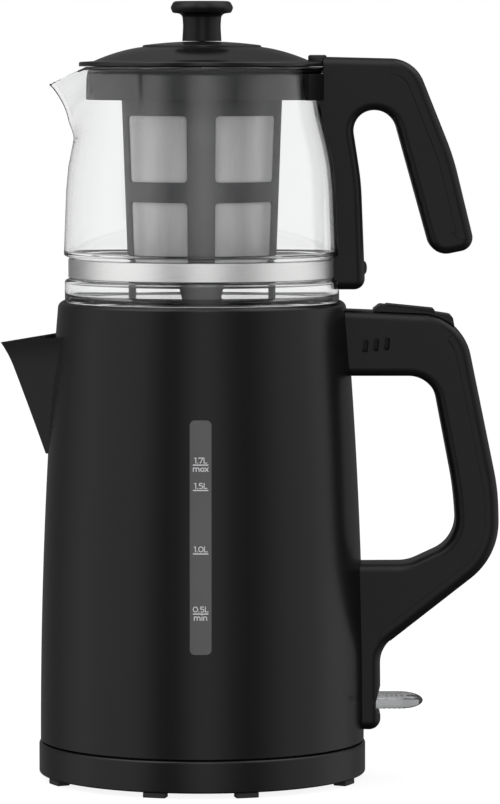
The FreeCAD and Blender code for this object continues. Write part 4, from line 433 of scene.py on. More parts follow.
def moulded_surface_group():
    """Fine moulded or sprayed grain with faint cloudy wear and specks of dust."""
    if "moulded_surface" in bpy.data.node_groups:
        return bpy.data.node_groups["moulded_surface"]
    shader, given, result = group_tree("moulded_surface", (
        ("Place", VECTOR, None), ("Colour", COLOUR, (0.01, 0.01, 0.01, 1)), ("Grain", FLOAT, 2600.0),
        ("Roughness", FLOAT, 0.3), ("Wear", FLOAT, 0.06), ("Dust", FLOAT, 0.1)))
    spot = given["Place"]
    grain = shader.node("ShaderNodeTexNoise", Vector=spot, Scale=given["Grain"], Detail=2.0, Roughness=0.5)
    clouds = shader.node("ShaderNodeTexNoise", Vector=spot, Scale=22.0, Detail=4.0, Roughness=0.62)
    specks = shader.node("ShaderNodeTexVoronoi", Vector=spot, Scale=520.0)
    cloudy = clouds.outputs["Fac"]
    wear = shader.math("MULTIPLY", shader.math("SUBTRACT", cloudy, 0.5), given["Wear"])
    speck = shader.math("LESS_THAN", specks.outputs["Distance"], 0.035)
    patch = shader.math("GREATER_THAN", cloudy, 0.58)
    dust = shader.math("MULTIPLY", shader.math("MULTIPLY", speck, patch), given["Dust"])
    tint = shader.node("ShaderNodeMix", data_type="RGBA", Factor=dust, A=given["Colour"], B=DUST_GREY)
    shader.fill(result, Colour=tint.outputs["Result"], Roughness=shader.math("ADD", wear, given["Roughness"]),
                Height=grain.outputs["Fac"])
    return shader.tree


def brushed_group():
    """Fine lines that run round the Z axis, as on brushed steel."""
    if "brushed_rounds" in bpy.data.node_groups:
        return bpy.data.node_groups["brushed_rounds"]
    shader, given, result = group_tree("brushed_rounds", (
        ("Place", VECTOR, None), ("Lines", FLOAT, 9000.0), ("Colour", COLOUR, (0.7, 0.7, 0.7, 1)),
        ("Roughness", FLOAT, 0.3)))
    apart = shader.node("ShaderNodeSeparateXYZ", Vector=given["Place"]).outputs
    turn = shader.math("MULTIPLY", shader.math("ARCTAN2", apart["Y"], apart["X"]), 6.0)
    spot = shader.node("ShaderNodeCombineXYZ", X=turn, Y=shader.math("MULTIPLY", apart["Z"], given["Lines"]))
    noise = shader.node("ShaderNodeTexNoise", Vector=spot.outputs[0], Scale=1.0, Detail=3.0, Roughness=0.7)
    lines = noise.outputs["Fac"]
    spread = shader.math("MULTIPLY", shader.math("SUBTRACT", lines, 0.5), 0.35)
    ramp = shader.node("ShaderNodeMapRange", Value=lines, From_Min=0.25, From_Max=0.75, To_Min=0.82, To_Max=1.0)
    tone = shader.node("ShaderNodeMix", data_type="RGBA", blend_type="MULTIPLY", Factor=1.0, A=given["Colour"],
                       B=ramp.outputs["Result"])
    shader.fill(result, Colour=tone.outputs["Result"], Roughness=shader.math("ADD", spread, given["Roughness"]),
                Height=lines)
    return shader.tree


def new_material(name):
    """A material with a Principled BSDF; returns the material, its tree, the BSDF and object coordinates."""
    material = bpy.data.materials.new(name)
    material.use_nodes = True
    material.node_tree.nodes.clear()
    shader = Shader(material.node_tree)
    surface = shader.node("ShaderNodeBsdfPrincipled")
    shader.node("ShaderNodeOutputMaterial", Surface=surface.outputs[0])
    return material, shader, surface, shader.node("ShaderNodeTexCoord").outputs["Object"]


def cover(shader, surface, height, strength, distance, **inputs):
    """Give the BSDF its inputs and a bump from a height."""
    bump = shader.node("ShaderNodeBump", Strength=strength, Distance=distance, Height=height)
    shader.fill(surface, Normal=bump.outputs[0], **inputs)


# ---- finishes ---------------------------------------------------------------
# Moulded finishes: colour and roughness, or the names of their settings, then grain, bump in metres, wear,
# dust, specular level and metallic.
MOULDED = {
    "black_enamel": ("enamel", "enamel_roughness", 900.0, 0.000006, 0.03, 0.25, 0.26, 0.0),
    "handle_plastic": ("plastic", "plastic_roughness", 3200.0, 0.000006, 0.08, 0.2, 0.23, 0.0),
    "base_plastic": ("plastic", "enamel_roughness", 2600.0, 0.00001, 0.05, 0.2, 0.26, 0.0),
    "lid_plastic": ("plastic", "lid_roughness", 1800.0, 0.000006, 0.05, 0.2, 0.34, 0.0),
    "strainer_plastic": ("strainer", 0.3, 2200.0, 0.0000004, 0.04, 0.1, 0.4, 0.0),
    "dark_plastic": ((0.018, 0.018, 0.019), 0.5, 2400.0, 0.00004, 0.1, 0.2, 0.5, 0.0),
    "foot_rubber": ((0.016, 0.016, 0.016), 0.72, 2100.0, 0.00006, 0.14, 0.3, 0.5, 0.0),
    "grey_silicone": ((0.28, 0.28, 0.28), 0.6, 1500.0, 0.00003, 0.06, 0.1, 0.5, 0.0),
    "gauge_print": ("print_grey", 0.5, 4000.0, 0.000002, 0.05, 0.0, 0.5, 0.0),
    "zinc_plate": ((0.55, 0.55, 0.54), 0.32, 1500.0, 0.00001, 0.12, 0.0, 0.5, 1.0),
    "contact_brass": ((0.72, 0.5, 0.22), 0.3, 1500.0, 0.00001, 0.12, 0.0, 0.5, 1.0),
    "cast_alloy": ((0.62, 0.62, 0.63), 0.42, 1500.0, 0.00001, 0.12, 0.0, 0.5, 1.0),
    "mesh_wire": ("mesh", 0.4, 1500.0, 0.00001, 0.12, 0.0, 0.5, 1.0),
}


def moulded(name):
    """Paint, plastic, rubber or plain metal with fine grain and faint wear, from the table."""
    if name in bpy.data.materials:
        return bpy.data.materials[name]
    colour, roughness, grain, bump, wear, dust, specular, metallic = MOULDED[name]
    look = bpy.context.scene.tea_finish
    colour = getattr(look, colour) if isinstance(colour, str) else colour
    roughness = getattr(look, roughness) if isinstance(roughness, str) else roughness
    material, shader, surface, spot = new_material(name)
    life = shader.node("ShaderNodeGroup", node_tree=moulded_surface_group(), Colour=solid(colour), Grain=grain,
                       Roughness=roughness, Wear=wear, Dust=dust, Place=spot).outputs
    cover(shader, surface, life["Height"], 0.35, bump, Base_Color=life["Colour"], Roughness=life["Roughness"],
          Specular_IOR_Level=specular, Metallic=metallic)
    return material


def brushed_steel(name, colour, roughness, lines=9000.0):
    """Steel with fine lines round the axis."""
    if name in bpy.data.materials:
        return bpy.data.materials[name]
    material, shader, surface, spot = new_material(name)
    brushed = shader.node("ShaderNodeGroup", node_tree=brushed_group(), Colour=solid(colour),
                          Roughness=roughness, Lines=lines, Place=spot).outputs
    cover(shader, surface, brushed["Height"], 0.4, 0.00002, Base_Color=brushed["Colour"],
          Roughness=brushed["Roughness"], Metallic=1.0)
    return material


def clear_material(name, colour, roughness, ior, waviness):
    """Glass or clear plastic with a faint waviness in its surface."""
    if name in bpy.data.materials:
        return bpy.data.materials[name]
    material, shader, surface, spot = new_material(name)
    waves = shader.node("ShaderNodeTexNoise", Vector=spot, Scale=26.0, Detail=2.0).outputs["Fac"]
    cover(shader, surface, waves, 0.2, waviness, Base_Color=shader.varied(colour, 0.99, 1.01, waves),
          Roughness=roughness, IOR=ior, Transmission_Weight=1.0)
    return material


def woven_steel():
    """Pale opaque sheet for the close weave of very fine wires; its tone is partly the weave's own grey and
    partly painted light that stands for the white seen through the weave. The streaks run upwards.
    """
    material, shader, surface, spot = new_material("woven_steel")
    stretch = shader.node("ShaderNodeMapping", Vector=spot, Scale=(1500.0, 1500.0, 60.0))
    streaks = shader.node("ShaderNodeTexNoise", Vector=stretch.outputs[0], Scale=1.0, Detail=3.0, Roughness=0.6)
    # Painted see-through light: the pale tone stands partly for the weave's own grey and partly for white light
    # through the weave.
    tint = shader.varied(bpy.context.scene.tea_finish.mesh, 0.8, 1.05, streaks.outputs["Fac"])
    shader.fill(surface, Base_Color=tint, Roughness=0.55)
    return material


def smoked_plastic():
    """The smoked strip of the gauge, a little cloudy."""
    material, shader, surface, spot = new_material("smoked_plastic")
    haze = shader.node("ShaderNodeTexNoise", Vector=spot, Scale=34.0, Detail=3.0)
    tint = shader.varied(bpy.context.scene.tea_finish.gauge, 0.88, 1.12, haze.outputs["Fac"])
    shader.fill(surface, Base_Color=tint, Roughness=0.24, Specular_IOR_Level=0.3)
    return material


# ---- kettle body ------------------------------------------------------------
def body_radius(z):
    """Outer radius of the kettle at a height, in millimetres."""
    return BODY_RADIUS - (z - BODY_BOTTOM) ** 2 / (2 * BODY_CURVE)


def body_slope(reach, z):
    """Slope of the kettle's side at a place on it, or None elsewhere."""
    if abs(reach - body_radius(z)) > 0.12:
        return None
    return 1.0, (z - BODY_BOTTOM) / BODY_CURVE


def body_side(low, high, rows, inset=0.0):
    """Points up the kettle's side between two heights."""
    heights = [low + (high - low) * row / rows for row in range(rows + 1)]
    return [(body_radius(z) - inset, z) for z in heights]


def body_profile():
    """The closed section of the kettle's wall, outside going up."""
    top = BODY_TOP - SHOULDER_ROUND
    under = BODY_TOP - RIM_DEPTH
    middle = BODY_BOTTOM + 60.0
    shoulder = arc(body_radius(top) - SHOULDER_ROUND, top, SHOULDER_ROUND, SHOULDER_ROUND, 0, 90, 14)[1:]
    return body_side(BODY_BOTTOM, top, 24) + [spot for spot in shoulder if spot[0] > MOUTH_RADIUS] + [
        (MOUTH_RADIUS, BODY_TOP - LIP_DEPTH), (MOUTH_RADIUS, under), (body_radius(under) - BODY_WALL, under),
        (body_radius(middle) - BODY_WALL, middle), (BODY_RADIUS - BODY_WALL, BODY_BOTTOM),
    ]


def gauge_outline(grow):
    """The outline of the gauge in (x, z), grown on every side."""
    half = (PANE_HIGH[0] - PANE_LOW[0]) / 2 + grow
    bottom = PANE_LOW[2] - grow
    top = PANE_HIGH[2] + grow
    edge = GAUGE_ROUND + grow
    return rounded([(-half, bottom, edge), (half, bottom, edge), (half, top, edge), (-half, top, edge)])


def gauge_cutter(grow):
    """A block in front of the kettle with the outline of the gauge."""
    piece = block(gauge_outline(grow), BODY_RADIUS / 4, "gauge_cutter")
    for vert in piece.data.vertices:
        vert.co.y -= BODY_RADIUS * MM
    return piece


class TEA_OT_kettle_body(bpy.types.Operator):
    """Make the painted body of the kettle with the opening for its gauge"""
    bl_idname = "tea.kettle_body"
    bl_label = "Kettle body"

    def execute(self, context):
        """Turn the wall, cut the opening and set exact shading."""
        piece = turned("kettle_body", body_profile())
        cut_away(piece, [gauge_cutter(GAUGE_GAP), spout_cutter()])
        shade(piece, 30.0)
        turned_normals(piece, body_slope)
        place(piece, moulded("black_enamel"), "kettle", "black_steel", "kettle_shell")
        return {"FINISHED"}


# ---- kettle spout -----------------------------------------------------------
SPOUT_RIM_SLOPE = 0.13
SPOUT_HALF_ANGLE = math.radians(37.5)
SPOUT_NOSE = 2.5
SPOUT_FLARE = 0.37
SPOUT_LIP = 1.6
SPOUT_LIP_HEIGHT = 12.0
SPOUT_WALL = 1.2
SPOUT_ROOT_X = -58.0
SPOUT_TIP_Z = 207.5
SPOUT_ROWS = 18
SPOUT_DROP = 4.5           # of its root below the frame's spout
ROOT_SINK = 0.4            # of its root into the body's side


def spout_nose(z):
    """X of the spout's front edge at a height."""
    lean = SPOUT_LEFT + (SPOUT_TIP_Z - z) * SPOUT_FLARE
    near_tip = max(0.0, z - SPOUT_TIP_Z + SPOUT_LIP_HEIGHT) / SPOUT_LIP_HEIGHT
    return lean + SPOUT_LIP * (1 - near_tip ** 2)


def spout_row(z, inset, lift):
    """One level of the spout's V, from its left root round the nose to the right root."""
    shift = inset / math.sin(SPOUT_HALF_ANGLE)
    nose = max(SPOUT_NOSE - inset, 0.4)
    vertex = spout_nose(z) + shift - nose * (1 / math.sin(SPOUT_HALF_ANGLE) - 1)
    half = (SPOUT_ROOT_X - vertex) * math.tan(SPOUT_HALF_ANGLE)
    corner = rounded([(SPOUT_ROOT_X, -half), (vertex, 0.0, nose), (SPOUT_ROOT_X, half)], closed=False)
    row = []
    for x, y in corner:
        rise = lift * (x - SPOUT_LEFT) * SPOUT_RIM_SLOPE
        row.append((x * MM, y * MM, (z + rise) * MM))
    return row


def spout_shape(inset, low, high):
    """Rows of points up the spout between two heights."""
    shares = [row / SPOUT_ROWS for row in range(SPOUT_ROWS + 1)]
    return [spout_row(low + (high - low) * share, inset, share) for share in shares]


def spout_cutter():
    """A closed wedge for the hole behind the spout."""
    grid = spout_shape(SPOUT_WALL, SPOUT_FOOT + 3, SPOUT_TIP_Z - 1)
    width = len(grid[0])
    verts = [spot for row in grid for spot in row]
    faces = grid_faces(len(grid), width)
    faces += [list(range(width)), list(range(len(verts) - width, len(verts)))]
    piece = new_object("spout_cutter", verts, faces)
    turn_outwards(piece)
    return piece


class TEA_OT_kettle_spout(bpy.types.Operator):
    """Make the thin V-shaped spout of the kettle"""
    bl_idname = "tea.kettle_spout"
    bl_label = "Kettle spout"

    def execute(self, context):
        """Join an outer and an inner skin along the rim and the root."""
        outer, inner = [spout_shape(inset, SPOUT_FOOT - SPOUT_DROP, SPOUT_TIP_Z) for inset in (0.0, SPOUT_WALL)]
        width = len(outer[0])
        verts = [spot for row in outer + inner for spot in row]
        inside = len(outer) * width
        # An inner row holds one point more than an outer one, so the inner side's faces lie askew.
        faces = []
        for a, b, c, d in grid_faces(len(outer), width, closed=False):
            faces += [[a, b, c, d], [inside + a, inside + d, inside + c, inside + b]]
        for step in range(width - 1):
            top = inside - width + step
            faces.append([top, top + 1, inside + top + 1, inside + top])
            faces.append([step + 1, step, inside + step, inside + step + 1])
        for first in range(0, inside - width, width):
            for a in (first, first + width - 1):
                faces.append([a, a + width, inside + a + width, inside + a])
        piece = new_object("kettle_spout_skin", verts, faces)
        turn_outwards(piece)
        cut_away(piece, [spout_root_cutter()])
        soften(piece, 0.35)
        settled(piece)
        shade(piece, 35.0)
        place(piece, moulded("black_enamel"), "kettle", "black_steel", "kettle_spout")
        return {"FINISHED"}


def spout_root_cutter():
    """The room of the kettle's body, which the spout's root doesn't enter."""
    low, high = BODY_BOTTOM, BODY_TOP + 10
    side = body_side(low, high, 20, ROOT_SINK)
    return turned("body_room", [(0.0, low)] + side + [(0.0, high)], steps=SMALL_ROUND_STEPS)


# ---- water gauge ------------------------------------------------------------
MARKS = ((154.9, "1.7L", "max"), (143.2, "1.5L", ""), (113.9, "1.0L", ""), (86.1, "0.5L", "min"))
FIGURE_STRETCH = 1.28      # of the figures sideways
WORD_STRETCH = 1.17        # and of the words
STROKE = 0.07              # half the width of a stroke, as a share of the figures' height
STRIP_OUT, STRIP_IN = 0.06, -1.4       # faces of the strip, from the body's side outwards
PRINT_LOW, PRINT_HIGH = 0.06, 0.1      # foot and top of the print, likewise


# The strokes of each letter and its width, as shares of the figures' height.
GLYPHS = {
    "0": (0.74, [arc(0.37, 0.5, 0.3, 0.43, 90, 450, 20)]),
    "1": (0.42, [[(0.04, 0.87), (0.26, 0.93), (0.26, 0.0)]]),
    "5": (0.66, [[(0.56, 0.93), (0.16, 0.93), (0.12, 0.56)] + arc(0.29, 0.31, 0.29, 0.25, 90, -125)]),
    "7": (0.62, [[(0.04, 0.78), (0.04, 0.93), (0.56, 0.93), (0.2, 0.0)]]),
    "L": (0.54, [[(0.1, 1.0), (0.1, 0.07), (0.52, 0.07)]]),
    ".": (0.2, [[(0.02, 0.07), (0.16, 0.07)]]),
    "a": (0.62, [arc(0.28, 0.33, 0.21, 0.26, 60, 300, 12), [(0.5, 0.66), (0.5, 0.0)]]),
    "i": (0.26, [[(0.12, 0.66), (0.12, 0.0)], [(0.12, 0.84), (0.12, 0.97)]]),
    "m": (1.02, [[(0.1, 0.0), (0.1, 0.66)], arc(0.3, 0.42, 0.19, 0.19, 170, 0) + [(0.49, 0.0)],
                 arc(0.69, 0.42, 0.19, 0.19, 170, 0) + [(0.88, 0.0)]]),
    "n": (0.64, [[(0.1, 0.0), (0.1, 0.66)], arc(0.3, 0.41, 0.2, 0.2, 170, 0) + [(0.5, 0.0)]]),
    "x": (0.54, [[(0.04, 0.66), (0.5, 0.0)], [(0.5, 0.66), (0.04, 0.0)]]),
}


def wrapped(x, z, proud):
    """A point on the front of the kettle, in metres, this far out of its side."""
    radius = body_radius(z) + proud
    return x * MM, -math.sqrt(radius ** 2 - x ** 2) * MM, z * MM


class TEA_OT_water_gauge(bpy.types.Operator):
    """Make the smoked strip of the gauge and its plain capacity marks"""
    bl_idname = "tea.water_gauge"
    bl_label = "Water gauge"

    def execute(self, context):
        """Bend a strip over the body and print lines and figures on it."""
        self.strip()
        self.marks()
        return {"FINISHED"}

    def strip(self):
        """The strip itself, a closed plate a little proud of the paint."""
        piece = block(gauge_outline(0.0), 1.0, "gauge_strip")
        shape = bmesh.new()
        shape.from_mesh(piece.data)
        half = PANE_HIGH[0] * MM
        cuts = [((2 * half * index / 5 - half, 0, 0), (1, 0, 0)) for index in range(1, 5)]
        z = PANE_LOW[2] * MM + 2.0 * MM
        while z < PANE_HIGH[2] * MM - 2.0 * MM:
            cuts.append(((0, 0, z), (0, 0, 1)))
            z += 6.0 * MM
        for spot, side in cuts:
            geometry = shape.verts[:] + shape.edges[:] + shape.faces[:]
            bmesh.ops.bisect_plane(shape, geom=geometry, plane_co=spot, plane_no=side)
        for vert in shape.verts:
            vert.co = wrapped(vert.co.x / MM, vert.co.z / MM, STRIP_OUT if vert.co.y < 0 else STRIP_IN)
        shape.to_mesh(piece.data)
        shape.free()
        shade(piece, 40.0)
        turned_normals(piece, lambda reach, z: (1.0, (z - BODY_BOTTOM) / BODY_CURVE)
                       if reach > body_radius(z) else None)
        place(piece, smoked_plastic(), "kettle", "gauge_plastic", "gauge_window")

    def marks(self):
        """Lines and figures as thin raised print."""
        sizes = bpy.context.scene.tea_sizes
        half = PANE_HIGH[0] * 0.71
        high = sizes.print_height / MM
        thick = sizes.line_height / MM / 2
        verts, faces = [], []
        for z, figure, word in MARKS:
            self.stroke(verts, faces, [(-half, z), (0.0, z), (half, z)], thick)
            self.text(verts, faces, figure, z + thick + 0.5, high, FIGURE_STRETCH)
            self.text(verts, faces, word, z - thick - 0.9 - high * 0.72, high * 1.08, WORD_STRETCH)
        piece = new_object("gauge_marks", verts, faces)
        place(piece, moulded("gauge_print"), "kettle", "gauge_plastic")

    def text(self, verts, faces, words, z, high, stretch):
        """A row of letters centred over the strip."""
        across = high * stretch
        left = -sum(GLYPHS[letter][0] for letter in words) * across / 2
        for letter in words:
            wide, strokes = GLYPHS[letter]
            for points in strokes:
                spots = [(left + x * across, z + up * high) for x, up in points]
                self.stroke(verts, faces, spots, STROKE * high)
            left += wide * across

    def stroke(self, verts, faces, points, half):
        """A raised ribbon along a line of points, bent over the strip."""
        start = len(verts)
        count = len(points)
        for index, point in enumerate(points):
            back = Vector(points[max(index - 1, 0)])
            ahead = Vector(points[min(index + 1, count - 1)])
            here = Vector(point)
            before = (here - back).normalized() if index else (ahead - here).normalized()
            after = (ahead - here).normalized() if index < count - 1 else before
            along = (before + after).normalized()
            reach = half / max(along.dot(before), 0.5)
            side = Vector((-along.y, along.x)) * reach
            for proud in (PRINT_LOW, PRINT_HIGH):
                for spot in (here + side, here - side):
                    verts.append(wrapped(spot.x, spot.y, proud))
        for index in range(count - 1):
            first = start + index * 4
            second = first + 4
            faces.append([first + 2, first + 3, second + 3, second + 2])
            faces.append([first + 3, first + 1, second + 1, second + 3])
            faces.append([first, first + 2, second + 2, second])
        end = start + (count - 1) * 4
        faces.append([start, start + 1, start + 3, start + 2])
        faces.append([end + 1, end, end + 2, end + 3])


# ---- power base -------------------------------------------------------------
def base_profile():
    """The closed section of the base's housing."""
    wall = 2.4
    inside = BASE_RADIUS - wall
    foot, top = BASE_LOW[2], BASE_HIGH[2]
    deck = 14.0
    collar = 26.0
    return rounded([
        (inside, foot), (BASE_RADIUS, foot, 0.9), (BASE_RADIUS, top, 1.6), (inside, top, 0.5),
        (inside - 3.0, deck, 0.6), (collar, deck), (collar, deck + 2.5, 0.8), (collar - wall, deck + 2.5, 0.4),
        (collar - wall, deck - wall), (inside, deck - wall),
    ])


class TEA_OT_power_base(bpy.types.Operator):
    """Make the round power base with its feet"""
    bl_idname = "tea.power_base"
    bl_label = "Power base"

    def execute(self, context):
        """Turn the housing and set the feet round it."""
        piece = turned("base_shell", base_profile(), 40.0)
        place(piece, moulded("base_plastic"), "power_base", "black_plastic", "base_housing")
        self.feet()
        return {"FINISHED"}

    def feet(self):
        """Soft-edged feet from the frame's own blocks."""
        piece = merged_copy("base_feet", "soft_feet", 50.0)
        piece.modifiers.clear()
        soften(piece, 0.5, 30.0)
        settled(piece)
        shade(piece, 40.0)
        place(piece, moulded("foot_rubber"), "power_base", "rubber", "base_feet")


# ---- teapot -----------------------------------------------------------------
BEAK_HALF_ANGLE = math.radians(41.0)
BEAK_ROOT_Z = 300.0
BEAK_LEAN = 0.467
BEAK_TIP_Z = 329.9
BEAK_RIM_SLOPE = 0.46
BEAK_BLEND = 5.0
BEAK_NOSE = math.radians(5.0)
POT_RIM_Z = 338.3
DIP_START_Z = 316.0        # from here up the rim's dip draws the glass down
POT_FOOT_Z, POT_FLOOR_Z = 225.5, 227.9     # under and upper side of its floor
POT_OUTSIDE = [
    (65.2, 225.5, 2.0), (65.2, 237.2, 1.6), (62.8, 238.2, 0.8), (62.8, 247.8, 0.8), (65.6, 249.2, 1.2),
    (64.0, 291.0, 110.0), (56.2, 322.0, 75.0), (56.2, 334.4, 4.0), (58.1, 337.8),
]
BAND_THICK = 0.55
POT_RIM = [(58.0, 338.1), (57.6, 338.3), (56.9, 338.3)]
POT_INSIDE = [
    (56.4, 338.0), (53.8, 335.0, 3.0), (53.8, 322.0, 75.0), (61.6, 291.0, 110.0), (63.2, 250.8, 1.5),
    (60.4, 247.0, 1.5), (60.4, 239.0, 1.5), (62.8, 236.2, 1.5), (62.8, 227.9, 3.5),
]


def beak_reach(turn, z, inset):
    """Distance of the beak's side from the axis, at an angle from its middle and a height."""
    tip = -GLASS_LEFT + (z - BEAK_TIP_Z) * BEAK_LEAN - inset
    soft = math.sqrt(turn ** 2 + BEAK_NOSE ** 2) - BEAK_NOSE * 0.42
    return tip * math.sin(BEAK_HALF_ANGLE) / math.sin(BEAK_HALF_ANGLE + soft)


def pot_reach(radius, angle, z, inset):
    """Radius of the pot with the beak grown out of it, blended softly."""
    turn = abs(math.atan2(math.sin(angle - math.pi), math.cos(angle - math.pi)))
    if z < BEAK_ROOT_Z or turn > math.radians(60):
        return radius
    beak = beak_reach(turn, z, inset)
    softness = BEAK_BLEND * min(1.0, (z - BEAK_ROOT_Z) / 12.0) + 1e-4
    gap = (beak - radius) / softness
    if gap > 30:
        return beak
    return radius + softness * math.log1p(math.exp(gap))


def pot_height(z, x):
    """Height of a point once the rim dips towards the beak's tip."""
    if z < DIP_START_Z:
        return z
    rim = min(POT_RIM_Z, BEAK_TIP_Z + (x - GLASS_LEFT) * BEAK_RIM_SLOPE)
    return DIP_START_Z + (z - DIP_START_Z) * (rim - DIP_START_Z) / (POT_RIM_Z - DIP_START_Z)


def dense(points, longest=2.6):
    """Points with more set between those that lie far apart."""
    done = [points[0]]
    for point in points[1:]:
        done += between(done[-1], point, math.ceil(math.dist(done[-1], point) / longest))[1:]
    return done


class TEA_OT_teapot_glass(bpy.types.Operator):
    """Make the glass pot with its smoothly drawn beak"""
    bl_idname = "tea.teapot_glass"
    bl_label = "Teapot glass"

    def execute(self, context):
        """Turn both sides of the glass and pull the beak out of them."""
        outside = dense(rounded([(0.0, POT_FOOT_Z)] + POT_OUTSIDE, closed=False))
        inside = dense(rounded(POT_INSIDE + [(0.0, POT_FLOOR_Z)], closed=False))
        inner_side = len(outside + POT_RIM)

        def drawn(index, radius, angle, z):
            reach = pot_reach(radius, angle, z, 0.0 if index < inner_side else POT_WALL)
            return reach, pot_height(z, reach * math.cos(angle))

        piece = turned("teapot_glass_wall", outside + POT_RIM + inside, 60.0, bend=drawn)
        glass = clear_material("pot_glass", context.scene.tea_finish.glass, 0.0, 1.47, 0.00008)
        place(piece, glass, "teapot", "clear_glass", "teapot_glass", "teapot_glass_foot")
        return {"FINISHED"}


class TEA_OT_steel_band(bpy.types.Operator):
    """Make the brushed steel band round the foot of the pot"""
    bl_idname = "tea.steel_band"
    bl_label = "Steel band"

    def execute(self, context):
        """Turn a thin band with folded edges."""
        outer, fold = BAND_HIGH[0], BAND_HIGH[0] - BAND_THICK
        low, high = BAND_LOW[2], BAND_HIGH[2]
        profile = rounded([(fold, low), (outer, low, 0.5), (outer, high, 0.5), (fold, high)])
        piece = turned("brushed_band", profile, 50.0)
        steel = brushed_steel("brushed_band_steel", context.scene.tea_finish.steel, 0.4)
        place(piece, steel, "teapot", "steel", "steel_band")
        return {"FINISHED"}


# ---- handles, button and lever ----------------------------------------------
CAP_DOME = 1.4             # height of the dome on the clamp screw's cap
SEAM_REACH = 0.4           # of the tongue past the spine cover
SEAM_WIDTH = 0.975         # of the tongue, as a share of the cover's


class TEA_OT_handles(bpy.types.Operator):
    """Make the two handles with their spine covers, and the saddle at the pot's neck"""
    bl_idname = "tea.handles"
    bl_label = "Handles"

    def execute(self, context):
        """Smooth copies of the frame's own solids."""
        pieces = (
            ("kettle_handle", "kettle_grip", "kettle"),
            ("kettle_handle_spine", "kettle_grip_spine", "kettle"),
            ("teapot_handle", "teapot_grip", "teapot"),
            ("teapot_handle_spine", "teapot_grip_spine", "teapot"),
            ("neck_saddle", "neck_saddle_plate", "teapot"),
        )
        for node, name, body in pieces:
            place(merged_copy(node, name), moulded("handle_plastic"), body, "black_plastic", node)
        self.seam("kettle_handle_spine", "kettle_grip_seam", "kettle")
        self.seam("teapot_handle_spine", "teapot_grip_seam", "teapot")
        self.cap()
        return {"FINISHED"}

    def seam(self, node, name, body):
        """The tongue under a spine cover that closes the seam round it, a little under the surface."""
        source = merged_copy(node, "spine")
        verts, faces = [], []
        for aside, down in ((SEAM_REACH, 0.0), (0.0, SEAM_REACH)):
            start = len(verts)
            for vert in source.data.vertices:
                spot = vert.co
                verts.append((spot.x - aside * MM, spot.y * SEAM_WIDTH, spot.z - down * MM))
            faces += [[start + index for index in face.vertices] for face in source.data.polygons]
        bpy.data.objects.remove(source)
        place(new_object(name, verts, faces), moulded("handle_plastic"), body, "black_plastic")

    def cap(self):
        """The low domed cap over the clamp screw."""
        low, high = node_box("clamp_cap")
        radius = (high[2] - low[2]) / 2
        centre = Vector((low[0] * MM, 0.0, (low[2] + high[2]) / 2 * MM))
        dome = arc(0.0, high[0] - low[0] - CAP_DOME, radius, CAP_DOME, 0, 90, 8)
        verts, faces = lathe([(0.0, 0.0), (radius, 0.0)] + dome, SMALL_ROUND_STEPS)
        verts = [Vector((z, y, -x)) + centre for x, y, z in verts]
        piece = new_object("clamp_screw_cap", verts, faces)
        place(piece, moulded("handle_plastic"), "teapot", "black_plastic", "clamp_cap")


class TEA_OT_thumb_button(bpy.types.Operator):
    """Make the thumb button and the raised panel round it"""
    bl_idname = "tea.thumb_button"
    bl_label = "Thumb button"

    def execute(self, context):
        """Soften the edges of the frame's own solids."""
        for node, name, body in (("button_bezel", "button_panel", "kettle"),
                                 ("thumb_button", "thumb_key", "thumb_button")):
            piece = merged_copy(node, name)
            soften(piece, 0.4).harden_normals = True
            place(piece, moulded("handle_plastic"), body, "black_plastic", node)
        self.coil()
        return {"FINISHED"}

    def coil(self):
        """The coil spring under the button, copied from the frame's own spring."""
        piece = merged_copy("button_spring", "button_coil", 60.0)
        piece.data.materials.append(moulded("zinc_plate"))
        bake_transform(piece)
        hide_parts("button_spring")


LEVER_TOP = 39.8
LEVER_BOTTOM = 32.8
LEVER_BACK = 1.6           # length of its softened back
LEVER_NOSE = 11.0          # length of its rounded end
LEVER_RIBS = (87.4, 2.4, 6)     # place, pitch and number of the grooves in its underside


